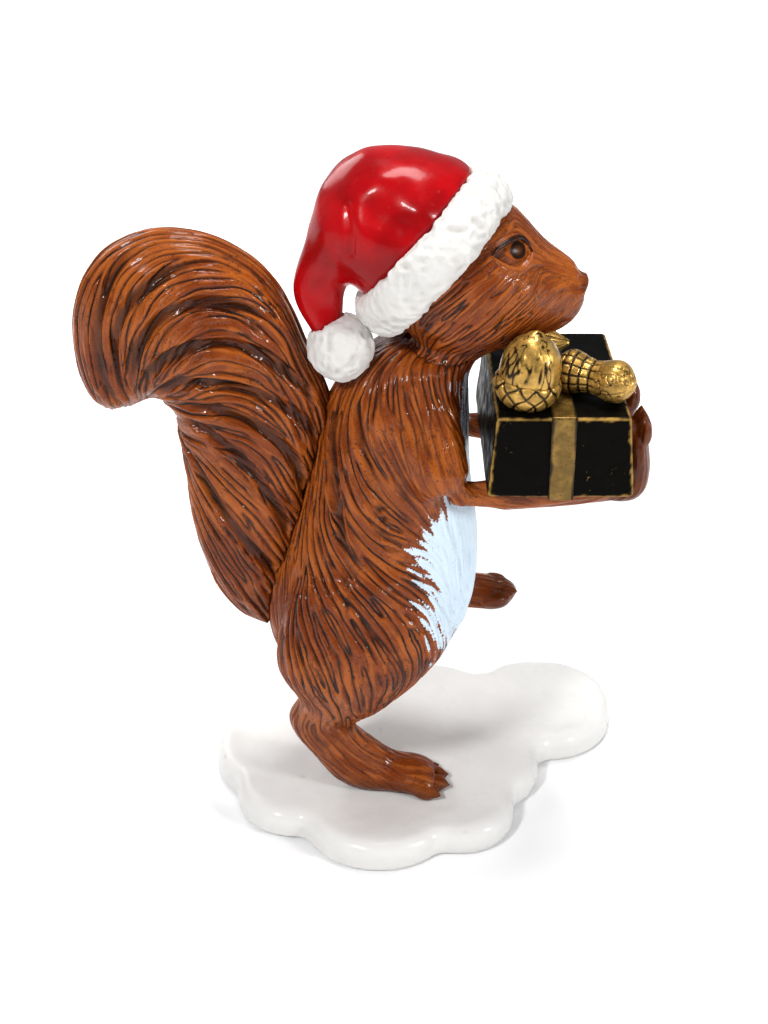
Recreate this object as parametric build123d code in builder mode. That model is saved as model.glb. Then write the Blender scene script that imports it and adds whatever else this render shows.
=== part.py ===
from build123d import *

import os
from collections import namedtuple
from math import cos, radians, sin, tan

# A squirrel figurine in painted cast resin: it strides over a patch of snow and carries a gift box.
# It faces +X, its mid-plane is the XZ plane, and the origin lies on the surface that it stands on.
# All lengths are in millimetres.

# Snow base and the pads under it
SNOW_LENGTH = 178.0
SNOW_DEPTH = 135.0
SNOW_THICKNESS = 12.0
SNOW_EDGE_RADIUS = 6.0
SNOW_NOTCH_RADIUS = 10.0
PAD_DIAMETER = 14.0
PAD_THICKNESS = 1.5

# Body
HIP_BACK = 20.0
TORSO_LIFT = 43.0
TORSO_DEPTH = 85.0
TORSO_HEIGHT = 160.0
TORSO_WIDTH = 72.0

# Head
HEAD_FORWARD = 35.0
HEAD_LIFT = 23.5
HEAD_LENGTH = 84.0
HEAD_HEIGHT = 64.0
HEAD_WIDTH = 58.0
EYE_DIAMETER = 12.0

# Tail
TAIL_BACK = 40.0
TAIL_LIFT = 33.5
TAIL_REACH = 70.0
TAIL_HEIGHT = 170.0
TAIL_THICKNESS = 44.0
LOCK_GROOVE_RADIUS = 4.0
LOCK_GROOVE_DEPTH = 1.5

# Hind legs
LEG_REACH = 70.0
LEG_RISE = 125.0
LEG_SPREAD = 45.0
FOOT_SINK = 1.0
TOE_LENGTH = 17.0
TOE_DIAMETER = 8.0

# Gift box, ribbon and arms
CHEST_GAP = 5.5
BOX_LIFT = 112.7
BOX_LENGTH = 54.0
BOX_WIDTH = 83.5
BOX_HEIGHT = 31.0
BOX_TAPER = 5.0
BOX_EDGE_RADIUS = 1.5
RIBBON_WIDTH = 9.3
RIBBON_THICKNESS = 0.8
UPPER_ARM_DEPTH = 40.0
UPPER_ARM_RISE = 35.0
ARM_SPREAD = 37.0
FOREARM_THICKNESS = 12.0
PAW_THICKNESS = 9.0
PAW_HEIGHT = 28.0
FINGER_LENGTH = 14.0
FINGER_DIAMETER = 6.0

# Hat
BRIM_BACK = 10.5
BRIM_LIFT = 9.0
BRIM_TILT = 49.0
BRIM_ROLL = 8.0
BRIM_RADIUS = 31.0
TRIM_WIDTH = 18.0
TRIM_THICKNESS = 10.5
HAT_REACH = 54.0
HAT_RISE = 40.0
HAT_WIDTH = 58.0
POMPOM_DIAMETER = 25.0

# Nuts on the box
ACORN_DIAMETER = 24.0
ACORN_HEIGHT = 29.5
ACORN_CUP_HEIGHT = 12.0
ACORN_TILT = 7.0
PEANUT_LENGTH = 32.0
PEANUT_DIAMETER = 16.5
PEANUT_TURN = -31.0
HAZELNUT_LENGTH = 26.0
HAZELNUT_DIAMETER = 14.0
NUT_SINK = 0.4

# Rod and dowels that hold the castings together
ROD_DIAMETER = 5.0
ROD_KNEE_RADIUS = 14.0
ROD_HOCK_RADIUS = 9.0
ROD_FOOT_RADIUS = 10.0
DOWEL_DIAMETER = 5.0
DOWEL_LENGTH = 28.0
ARM_DOWEL_LENGTH = 18.0
NECK_DOWEL_DIAMETER = 8.0
NECK_DOWEL_LENGTH = 38.0
GLUE_CLEARANCE = 0.15

# Each lobe of the snow: its centre as shares of the length and depth, its radius as a share of the depth
LOBE_SHARES = (
    (0.00, 0.10, 0.30),
    (-0.326, 0.10, 0.222),
    (-0.285, -0.085, 0.193),
    (-0.085, -0.185, 0.244),
    (0.105, -0.18, 0.175),
    (0.165, 0.02, 0.185),
    (0.34, 0.335, 0.237),
    (0.055, 0.345, 0.20),
    (-0.253, 0.27, 0.215),
)
PAD_SHARES = ((0, 0), (-0.37, 0.11), (-0.09, -0.27), (0.35, 0.38), (-0.05, 0.40))

# Ribs of the modelled forms. A row holds one edge point and the opposite edge point of the rib, each as a
# share of the form's reach and rise, then its sideways place and its breadth as shares of the form's width.
TORSO_RIB_SHARES = (
    (-0.14, 0.00, 0.14, 0.00, 0, 0.30),
    (-0.27, 0.035, 0.26, 0.035, 0, 0.55),
    (-0.41, 0.10, 0.35, 0.10, 0, 0.76),
    (-0.48, 0.21, 0.46, 0.21, 0, 0.93),
    (-0.47, 0.35, 0.52, 0.35, 0, 1.00),
    (-0.365, 0.51, 0.51, 0.51, 0, 0.96),
    (-0.27, 0.66, 0.475, 0.66, 0, 0.88),
    (-0.19, 0.81, 0.46, 0.80, 0, 0.80),
    (-0.06, 0.92, 0.46, 0.905, 0, 0.76),
    (0.14, 1.00, 0.505, 0.965, 0, 0.66),
)
HEAD_RIB_SHARES = (
    (-0.42, 0.20, -0.42, -0.05, 0, 0.36),
    (-0.35, 0.34, -0.35, -0.17, 0, 0.64),
    (-0.20, 0.47, -0.20, -0.37, 0, 0.88),
    (-0.04, 0.50, -0.04, -0.50, 0, 1.00),
    (0.12, 0.47, 0.12, -0.465, 0, 0.97),
    (0.27, 0.335, 0.27, -0.39, 0, 0.77),
    (0.37, 0.195, 0.37, -0.35, 0, 0.58),
    (0.45, 0.12, 0.45, -0.335, 0, 0.43),
    (0.52, 0.04, 0.52, -0.25, 0, 0.29),
    (0.555, 0.01, 0.555, -0.125, 0, 0.15),
)
TAIL_RIB_SHARES = (
    (-0.09, 0.00, 0.14, -0.01, 0, 0.28),
    (-0.22, 0.045, 0.14, 0.045, 0, 0.46),
    (-0.35, 0.155, 0.20, 0.16, 0, 0.73),
    (-0.41, 0.26, 0.26, 0.28, 0, 0.84),
    (-0.44, 0.41, 0.33, 0.425, 0, 0.93),
    (-0.47, 0.53, 0.385, 0.565, 0, 0.98),
    (-0.49, 0.57, 0.265, 0.71, 0, 1.00),
    (-0.53, 0.585, 0.07, 0.88, 0, 1.00),
    (-0.57, 0.595, -0.37, 0.98, 0, 0.95),
    (-0.615, 0.593, -0.74, 0.95, 0, 0.84),
    (-0.66, 0.585, -0.935, 0.845, 0, 0.68),
    (-0.70, 0.575, -0.99, 0.72, 0, 0.50),
    (-0.745, 0.567, -0.965, 0.63, 0, 0.30),
    (-0.785, 0.56, -0.87, 0.57, 0, 0.11),
)
STANDING_LEG_RIB_SHARES = (
    (0.20, 1.01, -0.20, 0.995, -0.49, 0.31),
    (0.385, 0.91, -0.355, 0.885, -0.53, 0.67),
    (0.485, 0.74, -0.485, 0.725, -0.555, 0.84),
    (0.39, 0.58, -0.515, 0.565, -0.555, 0.89),
    (0.185, 0.435, -0.42, 0.445, -0.49, 0.73),
    (0.03, 0.35, -0.42, 0.37, -0.43, 0.56),
    (-0.07, 0.29, -0.465, 0.315, -0.40, 0.44),
    (-0.03, 0.235, -0.41, 0.22, -0.385, 0.40),
    (0.055, 0.19, -0.305, 0.125, -0.37, 0.38),
    (0.135, 0.15, -0.195, 0.04, -0.36, 0.38),
    (0.24, 0.12, 0.045, 0.00, -0.36, 0.41),
    (0.335, 0.105, 0.245, 0.00, -0.38, 0.48),
    (0.41, 0.075, 0.37, 0.00, -0.395, 0.46),
)
RAISED_HAUNCH_RIB_SHARES = (
    (0.20, 1.03, -0.20, 1.01, 0.49, 0.31),
    (0.43, 0.93, -0.34, 0.90, 0.53, 0.67),
    (0.545, 0.79, -0.40, 0.725, 0.555, 0.84),
    (0.515, 0.685, -0.285, 0.565, 0.565, 0.84),
    (0.495, 0.65, 0.00, 0.49, 0.575, 0.69),
    (0.50, 0.64, 0.245, 0.47, 0.575, 0.53),
)
RAISED_FOOT_RIB_SHARES = (
    (0.44, 0.62, 0.20, 0.485, 0.575, 0.46),
    (0.53, 0.635, 0.43, 0.50, 0.57, 0.42),
    (0.63, 0.64, 0.615, 0.53, 0.565, 0.40),
    (0.745, 0.63, 0.745, 0.535, 0.555, 0.46),
    (0.83, 0.61, 0.83, 0.55, 0.555, 0.44),
)
UPPER_ARM_RIB_SHARES = (
    (-0.40, 1.00, -1.00, 0.88, -0.43, 0.48),
    (-0.24, 0.71, -0.93, 0.51, -0.57, 0.60),
    (-0.18, 0.37, -0.80, 0.11, -0.70, 0.60),
    (-0.13, 0.09, -0.58, -0.25, -0.81, 0.49),
)
FOREARM_RIB_SHARES = (
    (-0.225, 0.02, -0.284, -0.98, -0.81, 0.28),
    (0.45, 0.05, 0.45, -1.00, -0.70, 0.29),
    (0.90, 0.05, 0.94, -1.02, -0.54, 0.30),
)
PAW_RIB_SHARES = (
    (-0.70, 0.42, -0.50, 0.00, -0.53, 0.42),
    (-0.05, 0.42, 0.82, 0.08, -0.46, 0.44),
    (-0.15, 0.71, 0.97, 0.65, -0.42, 0.46),
    (-0.15, 1.00, 0.70, 1.06, -0.40, 0.35),
)
HAT_RIB_SHARES = (
    (-0.305, -0.57, 0.305, 0.57, 0.00, 0.97),
    (-0.37, -0.51, 0.23, 0.75, 0.00, 0.98),
    (-0.435, -0.41, -0.215, 0.95, 0.00, 0.93),
    (-0.49, -0.33, -0.635, 0.76, 0.00, 0.76),
    (-0.525, -0.28, -0.825, 0.25, -0.02, 0.52),
    (-0.57, -0.30, -0.92, -0.15, -0.06, 0.33),
    (-0.59, -0.58, -0.875, -0.58, -0.12, 0.26),
    (-0.585, -0.78, -0.795, -0.88, -0.16, 0.19),
)

# Grooves between the main locks of fur: the rib where each starts, then its turn in degrees at each rib
TORSO_LOCK_SHARES = (
    (5, (-72, -95, -118, -138)),
    (4, (-92, -112, -130, -150, -168)),
)
TAIL_LOCK_SHARES = (
    (1, (-30, -60, -95, -130, -160)),
    (2, (-25, -50, -80, -115, -150)),
    (3, (-20, -45, -75, -110, -150)),
    (4, (-20, -45, -75, -110, -150)),
    (5, (-20, -45, -75, -110, -150)),
    (6, (-20, -45, -75, -110, -145)),
    (7, (-20, -45, -75, -105, -135)),
    (8, (-20, -40, -70, -100, -125)),
)

# Places of single features, as shares of the form that carries them
CHEST_SHARE = 0.46
EYE_SHARES = (0.21, 0.21, 0.25)
POMPOM_SHARES = (-0.62, -0.17, -0.84)
STANDING_TOE_SHARES = (
    (0.34, -0.24, 0.035, 20.0),
    (0.41, -0.335, 0.035, 4.0),
    (0.415, -0.455, 0.035, -12.0),
    (0.35, -0.56, 0.035, -28.0),
)
RAISED_TOE_SHARES = (
    (0.80, 0.41, 0.585, 14.0),
    (0.83, 0.505, 0.59, 4.0),
    (0.83, 0.605, 0.59, -4.0),
    (0.80, 0.70, 0.585, -14.0),
)
FINGER_SHARES = ((0.60, -0.54), (0.66, -0.45), (0.66, -0.36), (0.60, -0.27))
TOE_PROFILE_SHARES = ((-0.5, 0.0), (-0.25, 0.44), (0.15, 0.42), (0.32, 0.22), (0.5, 0.0))
ROD_SHARES = (
    (0.014, -0.30, -0.07),
    (0.014, -0.31, 0.07),
    (-0.257, -0.39, 0.26),
    (-0.10, -0.49, 0.47),
    (0.00, -0.18, 0.81),
)
TAIL_DOWEL_SHARES = ((0.05, 0.13), (0.19, 0.36))
ARM_DOWEL_SHARES = (0.30, 0.36, 0.775)
LEG_DOWEL_SHARES = (0.03, 0.60, 0.735)
NECK_DOWEL_SHARES = (-0.15, -0.35)
ACORN_SHARES = (-0.255, -0.32)
PEANUT_SHARES = (0.227, -0.2425)
HAZELNUT_SHARES = (-0.113, 0.165)
NUT_PROFILE_SHARES = ((0.0, 0.12), (0.80, 0.20), (0.93, 0.45), (0.72, 0.78), (0.25, 0.95), (0.0, 1.0))
CUP_PROFILE_SHARES = ((0.0, 0.0), (0.55, 0.02), (0.95, 0.45), (1.0, 0.85), (0.90, 1.0))
PEANUT_PROFILE_SHARES = (
    (-0.50, 0.12),
    (-0.44, 0.31),
    (-0.25, 0.50),
    (0.00, 0.38),
    (0.24, 0.48),
    (0.44, 0.29),
    (0.50, 0.12),
)
HAZELNUT_PROFILE_SHARES = ((-0.50, 0.14), (-0.43, 0.31), (-0.15, 0.50), (0.25, 0.34), (0.50, 0.06))

RIGHT_ANGLE = 90
Rib = namedtuple("Rib", "plane depth width")


def ribs(shares, anchor, reach, rise, width):
    """Oval ribs of a form: each lies between two edge points, on its own plane square to the mid-plane."""
    found = []
    for first_x, first_z, second_x, second_z, aside, breadth in shares:
        first = anchor + Vector(first_x * reach, aside * width, first_z * rise)
        second = anchor + Vector(second_x * reach, aside * width, second_z * rise)
        across = second - first
        plane = Plane(origin=(first + second) / 2, x_dir=across, z_dir=across.cross(Vector(0, 1, 0)))
        found.append(Rib(plane, across.length, breadth * width))
    return found


def drawn_form(rows, in_quarters):
    """A smooth form through oval ribs, each drawn whole or as four quarters."""
    with BuildPart() as form:
        for rib in rows:
            with BuildSketch(rib.plane):
                if in_quarters:
                    with BuildLine():
                        for quarter in range(4):
                            EllipticalCenterArc((0, 0), rib.depth / 2, rib.width / 2, quarter * RIGHT_ANGLE)
                    make_face()
                else:
                    Ellipse(rib.depth / 2, rib.width / 2)
        loft()
    return form.part


def modelled_form(rows):
    """A smooth form through oval ribs.

    An ellipse has its seam on its longer axis. Where the ribs of a form differ in which axis that is, each is
    drawn as four quarters instead, so that the seams still line up. A few sets of ribs can be joined in only
    one of the two ways, so the other is tried when the first gives no form.
    """
    in_quarters = any(rib.depth <= rib.width for rib in rows)
    try:
        return drawn_form(rows, in_quarters)
    except Exception:
        return drawn_form(rows, not in_quarters)


def groove_point(rib, turn, lift):
    """Point over the edge of a rib, turned round from its second edge point and lifted off the surface."""
    forward = (rib.depth / 2 + lift) * cos(radians(turn))
    aside = (rib.width / 2 + lift) * sin(radians(turn))
    return rib.plane.from_local_coords(Vector(forward, aside, 0))


def lock_grooves(rows, paths, radius, depth):
    """Round cutters for the grooves between the main locks of fur, on both sides of a form.

    Each path starts at one rib and holds the turn at that rib and at each one after it. The cutter follows
    it, and lifts clear of the surface at both ends, so that the groove fades out.
    """
    with BuildPart() as grooves:
        for first, turns in paths:
            lifts = [radius - depth for _ in turns]
            lifts[0] = lifts[-1] = radius + depth
            points = [
                groove_point(rows[first + step], turn, lift)
                for step, (turn, lift) in enumerate(zip(turns, lifts))
            ]
            with BuildLine() as path:
                Spline(*points)
            with BuildSketch(Plane(origin=path.line @ 0, z_dir=path.line % 0)):
                Circle(radius)
            sweep(path=path.line)
        mirror(about=Plane.XZ)
    return grooves.part


def round_form(profile_shares, length, diameter):
    """A smooth form through round ribs along X, each placed as a share of the length."""
    rows = [(along, -out, along, out, 0, 2 * out) for along, out in profile_shares]
    return modelled_form(ribs(rows, Vector(0, 0, 0), length, diameter, diameter))


# Places that the pieces share
snow_top = PAD_THICKNESS + SNOW_THICKNESS
leg_anchor = Vector(-HIP_BACK, 0, snow_top - FOOT_SINK)
torso_anchor = Vector(-HIP_BACK, 0, snow_top + TORSO_LIFT)
head_anchor = torso_anchor + Vector(HEAD_FORWARD, 0, TORSO_HEIGHT + HEAD_LIFT)
tail_anchor = torso_anchor + Vector(-TAIL_BACK, 0, TAIL_LIFT)
brim_anchor = head_anchor + Vector(-BRIM_BACK, 0, BRIM_LIFT)
box_back = torso_anchor.X + CHEST_SHARE * TORSO_DEPTH + CHEST_GAP
box_bottom = torso_anchor.Z + BOX_LIFT
box_anchor = Vector(box_back, 0, box_bottom)
paw_anchor = Vector(box_back + BOX_LENGTH, 0, box_bottom - FOREARM_THICKNESS)
box_top_centre = Vector(box_back + BOX_LENGTH / 2, 0, box_bottom + BOX_HEIGHT)

# Toe: a pad that narrows to a claw, turned about its own length
with BuildPart() as toe:
    with BuildSketch(Plane.XZ):
        with BuildLine():
            Spline(*[(along * TOE_LENGTH, out * TOE_DIAMETER) for along, out in TOE_PROFILE_SHARES])
            Line((TOE_LENGTH / 2, 0), (-TOE_LENGTH / 2, 0))
        make_face()
    revolve(axis=Axis.X)

# Finger: the same form, smaller
with BuildPart() as finger:
    with BuildSketch(Plane.XZ):
        with BuildLine():
            Spline(*[(along * FINGER_LENGTH, out * FINGER_DIAMETER) for along, out in TOE_PROFILE_SHARES])
            Line((FINGER_LENGTH / 2, 0), (-FINGER_LENGTH / 2, 0))
        make_face()
    revolve(axis=Axis.X)

# Torso before its bores, which every limb is cut against
torso_ribs = ribs(TORSO_RIB_SHARES, torso_anchor, TORSO_DEPTH, TORSO_HEIGHT, TORSO_WIDTH)
torso_form_loft = modelled_form(torso_ribs)
with BuildPart() as torso_form:
    add(torso_form_loft)

# Steel rod: from the base through the standing leg into the torso
rod_points = [
    leg_anchor + Vector(forward * LEG_REACH, aside * LEG_SPREAD, up * LEG_RISE)
    for forward, aside, up in ROD_SHARES
]
with BuildPart() as leg_rod:
    with BuildLine() as rod_path:
        FilletPolyline(*rod_points, radius=[ROD_FOOT_RADIUS, ROD_HOCK_RADIUS, ROD_KNEE_RADIUS])
    with BuildSketch(Plane(origin=rod_path.line @ 0, z_dir=rod_path.line % 0)):
        Circle(ROD_DIAMETER / 2)
    sweep()
leg_rod.part.label = "leg_rod"

# Standing leg: haunch, shank and foot in one form, with four toes
standing_leg_ribs = ribs(STANDING_LEG_RIB_SHARES, leg_anchor, LEG_REACH, LEG_RISE, LEG_SPREAD)
right_hind_leg_loft = modelled_form(standing_leg_ribs)
with BuildPart() as right_hind_leg:
    add(right_hind_leg_loft)
    for forward, aside, up, turn in STANDING_TOE_SHARES:
        place = leg_anchor + Vector(forward * LEG_REACH, aside * LEG_SPREAD, up * LEG_RISE)
        with Locations(Location(place, (0, 0, turn))):
            add(toe.part)
    add(torso_form.part, mode=Mode.SUBTRACT)
    standing_form = right_hind_leg.part
    add(leg_rod.part, mode=Mode.SUBTRACT)
right_hind_leg.part.label = "right_hind_leg"

# Dowel for the raised leg, across the hip
leg_dowel_place = leg_anchor + Vector(
    LEG_DOWEL_SHARES[0] * LEG_REACH, LEG_DOWEL_SHARES[1] * LEG_SPREAD, LEG_DOWEL_SHARES[2] * LEG_RISE
)
with BuildPart() as left_leg_dowel:
    with Locations(Plane(origin=leg_dowel_place, z_dir=(0, 1, 0))):
        Cylinder(DOWEL_DIAMETER / 2, DOWEL_LENGTH)
left_leg_dowel.part.label = "left_leg_dowel"
with BuildPart() as left_leg_bore:
    with Locations(Plane(origin=leg_dowel_place, z_dir=(0, 1, 0))):
        Cylinder(DOWEL_DIAMETER / 2 + GLUE_CLEARANCE, DOWEL_LENGTH + 2 * GLUE_CLEARANCE)

# Raised leg: the haunch seated on the torso, then the foot and its toes
raised_haunch_form = modelled_form(
    ribs(RAISED_HAUNCH_RIB_SHARES, leg_anchor, LEG_REACH, LEG_RISE, LEG_SPREAD)
)
raised_foot_form = modelled_form(ribs(RAISED_FOOT_RIB_SHARES, leg_anchor, LEG_REACH, LEG_RISE, LEG_SPREAD))
with BuildPart() as left_hind_leg:
    add(raised_haunch_form)
    add(raised_foot_form)
    add(torso_form.part, mode=Mode.SUBTRACT)
    for forward, aside, up, turn in RAISED_TOE_SHARES:
        place = leg_anchor + Vector(forward * LEG_REACH, aside * LEG_SPREAD, up * LEG_RISE)
        with Locations(Location(place, (0, 0, turn))):
            add(toe.part)
    add(left_leg_bore.part, mode=Mode.SUBTRACT)
left_hind_leg.part.label = "left_hind_leg"

# Snow base: a slab of rounded lobes with soft edges, and the footprint that the standing foot is glued into
with BuildPart() as snow_base:
    with BuildSketch(Plane.XY.offset(PAD_THICKNESS)):
        for forward, aside, radius in LOBE_SHARES:
            with Locations((forward * SNOW_LENGTH, aside * SNOW_DEPTH)):
                Circle(radius * SNOW_DEPTH)
        offset(amount=SNOW_NOTCH_RADIUS)
        offset(amount=-SNOW_NOTCH_RADIUS)
    extrude(amount=SNOW_THICKNESS)
    fillet(snow_base.faces().sort_by(Axis.Z)[-1].edges(), SNOW_EDGE_RADIUS)
    add(standing_form, mode=Mode.SUBTRACT)
    add(leg_rod.part, mode=Mode.SUBTRACT)
snow_base.part.label = "snow_base"

# Foam pads under the base
with BuildPart() as base_pads:
    with BuildSketch():
        with Locations(*[(forward * SNOW_LENGTH, aside * SNOW_DEPTH) for forward, aside in PAD_SHARES]):
            Circle(PAD_DIAMETER / 2)
    extrude(amount=PAD_THICKNESS)
base_pads.part.label = "base_pads"

# Two dowels between tail and torso
tail_dowel_places = [
    Plane(origin=tail_anchor + Vector(forward * TAIL_REACH, 0, up * TAIL_HEIGHT), z_dir=(1, 0, 0))
    for forward, up in TAIL_DOWEL_SHARES
]
with BuildPart() as tail_dowels:
    with Locations(*tail_dowel_places):
        Cylinder(DOWEL_DIAMETER / 2, DOWEL_LENGTH)
tail_dowels.part.label = "tail_dowels"
with BuildPart() as tail_bores:
    with Locations(*tail_dowel_places):
        Cylinder(DOWEL_DIAMETER / 2 + GLUE_CLEARANCE, DOWEL_LENGTH + 2 * GLUE_CLEARANCE)

# Tail: rises along the back, then curls over and away from the body
tail_ribs = ribs(TAIL_RIB_SHARES, tail_anchor, TAIL_REACH, TAIL_HEIGHT, TAIL_THICKNESS)
tail_form = modelled_form(tail_ribs)
tail_grooves = lock_grooves(tail_ribs, TAIL_LOCK_SHARES, LOCK_GROOVE_RADIUS, LOCK_GROOVE_DEPTH)
with BuildPart() as tail:
    add(tail_form)
    add(torso_form.part, mode=Mode.SUBTRACT)
    add(tail_grooves, mode=Mode.SUBTRACT)
    add(tail_bores.part, mode=Mode.SUBTRACT)
tail.part.label = "tail"

# Dowel along the neck
neck_dowel_plane = Plane(
    origin=head_anchor + Vector(NECK_DOWEL_SHARES[0] * HEAD_LENGTH, 0, NECK_DOWEL_SHARES[1] * HEAD_HEIGHT),
    z_dir=(head_anchor.X - torso_anchor.X, 0, TORSO_HEIGHT),
)
with BuildPart() as neck_dowel:
    with Locations(neck_dowel_plane):
        Cylinder(NECK_DOWEL_DIAMETER / 2, NECK_DOWEL_LENGTH)
neck_dowel.part.label = "neck_dowel"
with BuildPart() as neck_bore:
    with Locations(neck_dowel_plane):
        Cylinder(NECK_DOWEL_DIAMETER / 2 + GLUE_CLEARANCE, NECK_DOWEL_LENGTH + 2 * GLUE_CLEARANCE)

# Head before its bore: skull and muzzle in one form, with the two eyes
head_form_loft = modelled_form(ribs(HEAD_RIB_SHARES, head_anchor, HEAD_LENGTH, HEAD_HEIGHT, HEAD_WIDTH))
with BuildPart() as head_form:
    add(head_form_loft)
    for side in (-1, 1):
        eye_place = head_anchor + Vector(
            EYE_SHARES[0] * HEAD_LENGTH, side * EYE_SHARES[2] * HEAD_WIDTH, EYE_SHARES[1] * HEAD_HEIGHT
        )
        with Locations(eye_place):
            Sphere(EYE_DIAMETER / 2)
    add(torso_form.part, mode=Mode.SUBTRACT)
with BuildPart() as head:
    add(head_form.part)
    add(neck_bore.part, mode=Mode.SUBTRACT)
head.part.label = "head"

# Hat trim: a fat fur band turned about the tilted axis of the hat
brim_plane = Plane(origin=brim_anchor).rotated((-BRIM_TILT, -BRIM_ROLL, 0), Intrinsic.YXZ)
with BuildPart() as hat_trim:
    with BuildSketch(Plane(origin=brim_anchor, x_dir=brim_plane.x_dir, z_dir=-brim_plane.y_dir)):
        with Locations((BRIM_RADIUS, 0)):
            Ellipse(TRIM_THICKNESS / 2, TRIM_WIDTH / 2)
    revolve(axis=Axis(brim_anchor, brim_plane.z_dir))
    add(head_form.part, mode=Mode.SUBTRACT)
    add(torso_form.part, mode=Mode.SUBTRACT)
hat_trim.part.label = "hat_trim"

# Hat crown: a bag that rises from the trim, folds over and hangs down behind the neck
hat_crown_loft = modelled_form(ribs(HAT_RIB_SHARES, brim_anchor, HAT_REACH, HAT_RISE, HAT_WIDTH))
with BuildPart() as hat_crown:
    add(hat_crown_loft)
    add(head_form.part, mode=Mode.SUBTRACT)
    add(torso_form.part, mode=Mode.SUBTRACT)
    add(hat_trim.part, mode=Mode.SUBTRACT)
hat_crown.part.label = "hat_crown"

# Pompom on the tip of the hat
with BuildPart() as hat_pompom:
    with Locations(
        brim_anchor
        + Vector(POMPOM_SHARES[0] * HAT_REACH, POMPOM_SHARES[1] * HAT_WIDTH, POMPOM_SHARES[2] * HAT_RISE)
    ):
        Sphere(POMPOM_DIAMETER / 2)
    add(hat_crown.part, mode=Mode.SUBTRACT)
    add(hat_trim.part, mode=Mode.SUBTRACT)
    add(torso_form.part, mode=Mode.SUBTRACT)
    add(tail.part, mode=Mode.SUBTRACT)
hat_pompom.part.label = "hat_pompom"

# Gift box: slightly wider at the bottom, with softened edges
with BuildPart() as gift_box:
    with BuildSketch(Plane.XY.offset(box_bottom)):
        with Locations((box_top_centre.X, 0)):
            Rectangle(BOX_LENGTH, BOX_WIDTH)
    extrude(amount=BOX_HEIGHT, taper=BOX_TAPER)
    fillet(gift_box.edges(), BOX_EDGE_RADIUS)
gift_box.part.label = "gift_box"

# Ribbon: a thin band round the middle of the box, following its slanted sides
top_half_width = BOX_WIDTH / 2 - BOX_HEIGHT * tan(radians(BOX_TAPER))
with BuildPart() as gift_ribbon:
    with BuildSketch(Plane.YZ.offset(box_top_centre.X)) as ribbon_profile:
        with BuildLine():
            Polyline(
                (-BOX_WIDTH / 2, box_bottom),
                (BOX_WIDTH / 2, box_bottom),
                (top_half_width, box_top_centre.Z),
                (-top_half_width, box_top_centre.Z),
                close=True,
            )
        make_face()
        offset(amount=RIBBON_THICKNESS)
    extrude(amount=RIBBON_WIDTH / 2, both=True)
    add(gift_box.part, mode=Mode.SUBTRACT)
gift_ribbon.part.label = "gift_ribbon"

# Dowels at the shoulders
shoulder_places = [
    Plane(
        origin=torso_anchor
        + Vector(ARM_DOWEL_SHARES[0] * TORSO_DEPTH, side * ARM_DOWEL_SHARES[1] * TORSO_WIDTH, 0)
        + Vector(0, 0, ARM_DOWEL_SHARES[2] * TORSO_HEIGHT),
        z_dir=(0, 1, 0),
    )
    for side in (-1, 1)
]
with BuildPart() as arm_dowels:
    with Locations(*shoulder_places):
        Cylinder(DOWEL_DIAMETER / 2, ARM_DOWEL_LENGTH)
arm_dowels.part.label = "arm_dowels"
with BuildPart() as arm_bores:
    with Locations(*shoulder_places):
        Cylinder(DOWEL_DIAMETER / 2 + GLUE_CLEARANCE, ARM_DOWEL_LENGTH + 2 * GLUE_CLEARANCE)

# Right arm: upper arm, forearm under the box, and a paw that curls up its front
upper_arm_ribs = ribs(UPPER_ARM_RIB_SHARES, box_anchor, UPPER_ARM_DEPTH, UPPER_ARM_RISE, ARM_SPREAD)
forearm_ribs = ribs(FOREARM_RIB_SHARES, box_anchor, BOX_LENGTH, FOREARM_THICKNESS, ARM_SPREAD)
paw_ribs = ribs(PAW_RIB_SHARES, paw_anchor, PAW_THICKNESS, PAW_HEIGHT, ARM_SPREAD)
upper_arm_form = modelled_form(upper_arm_ribs)
forearm_form = modelled_form(forearm_ribs)
paw_form = modelled_form(paw_ribs)
with BuildPart() as right_arm:
    add(upper_arm_form)
    add(torso_form.part, mode=Mode.SUBTRACT)
    add(forearm_form)
    add(paw_form)
    for forward, aside in FINGER_SHARES:
        place = paw_anchor + Vector(forward * PAW_THICKNESS, aside * ARM_SPREAD, PAW_HEIGHT)
        with Locations(Location(place, (0, -RIGHT_ANGLE, 0))):
            add(finger.part)
    add(gift_box.part, mode=Mode.SUBTRACT)
    add(gift_ribbon.part, mode=Mode.SUBTRACT)
    add(arm_bores.part, mode=Mode.SUBTRACT)
right_arm.part.label = "right_arm"

with BuildPart() as left_arm:
    mirror(right_arm.part, about=Plane.XZ)
left_arm.part.label = "left_arm"

# Torso with its fur grooves and the bores for the rod and the dowels
torso_grooves = lock_grooves(torso_ribs, TORSO_LOCK_SHARES, LOCK_GROOVE_RADIUS, LOCK_GROOVE_DEPTH)
with BuildPart() as torso:
    add(torso_form.part)
    add(torso_grooves, mode=Mode.SUBTRACT)
    add(leg_rod.part, mode=Mode.SUBTRACT)
    add(left_leg_bore.part, mode=Mode.SUBTRACT)
    add(tail_bores.part, mode=Mode.SUBTRACT)
    add(neck_bore.part, mode=Mode.SUBTRACT)
    add(arm_bores.part, mode=Mode.SUBTRACT)
torso.part.label = "torso"

# Bed of the nuts: all that lies under the top of the box, and the ribbon where it crosses that top
with BuildPart() as nut_bed:
    with Locations(box_top_centre):
        Box(BOX_LENGTH, BOX_WIDTH, BOX_HEIGHT, align=(Align.CENTER, Align.CENTER, Align.MAX))
        Box(RIBBON_WIDTH, BOX_WIDTH, RIBBON_THICKNESS, align=(Align.CENTER, Align.CENTER, Align.MIN))

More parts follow.
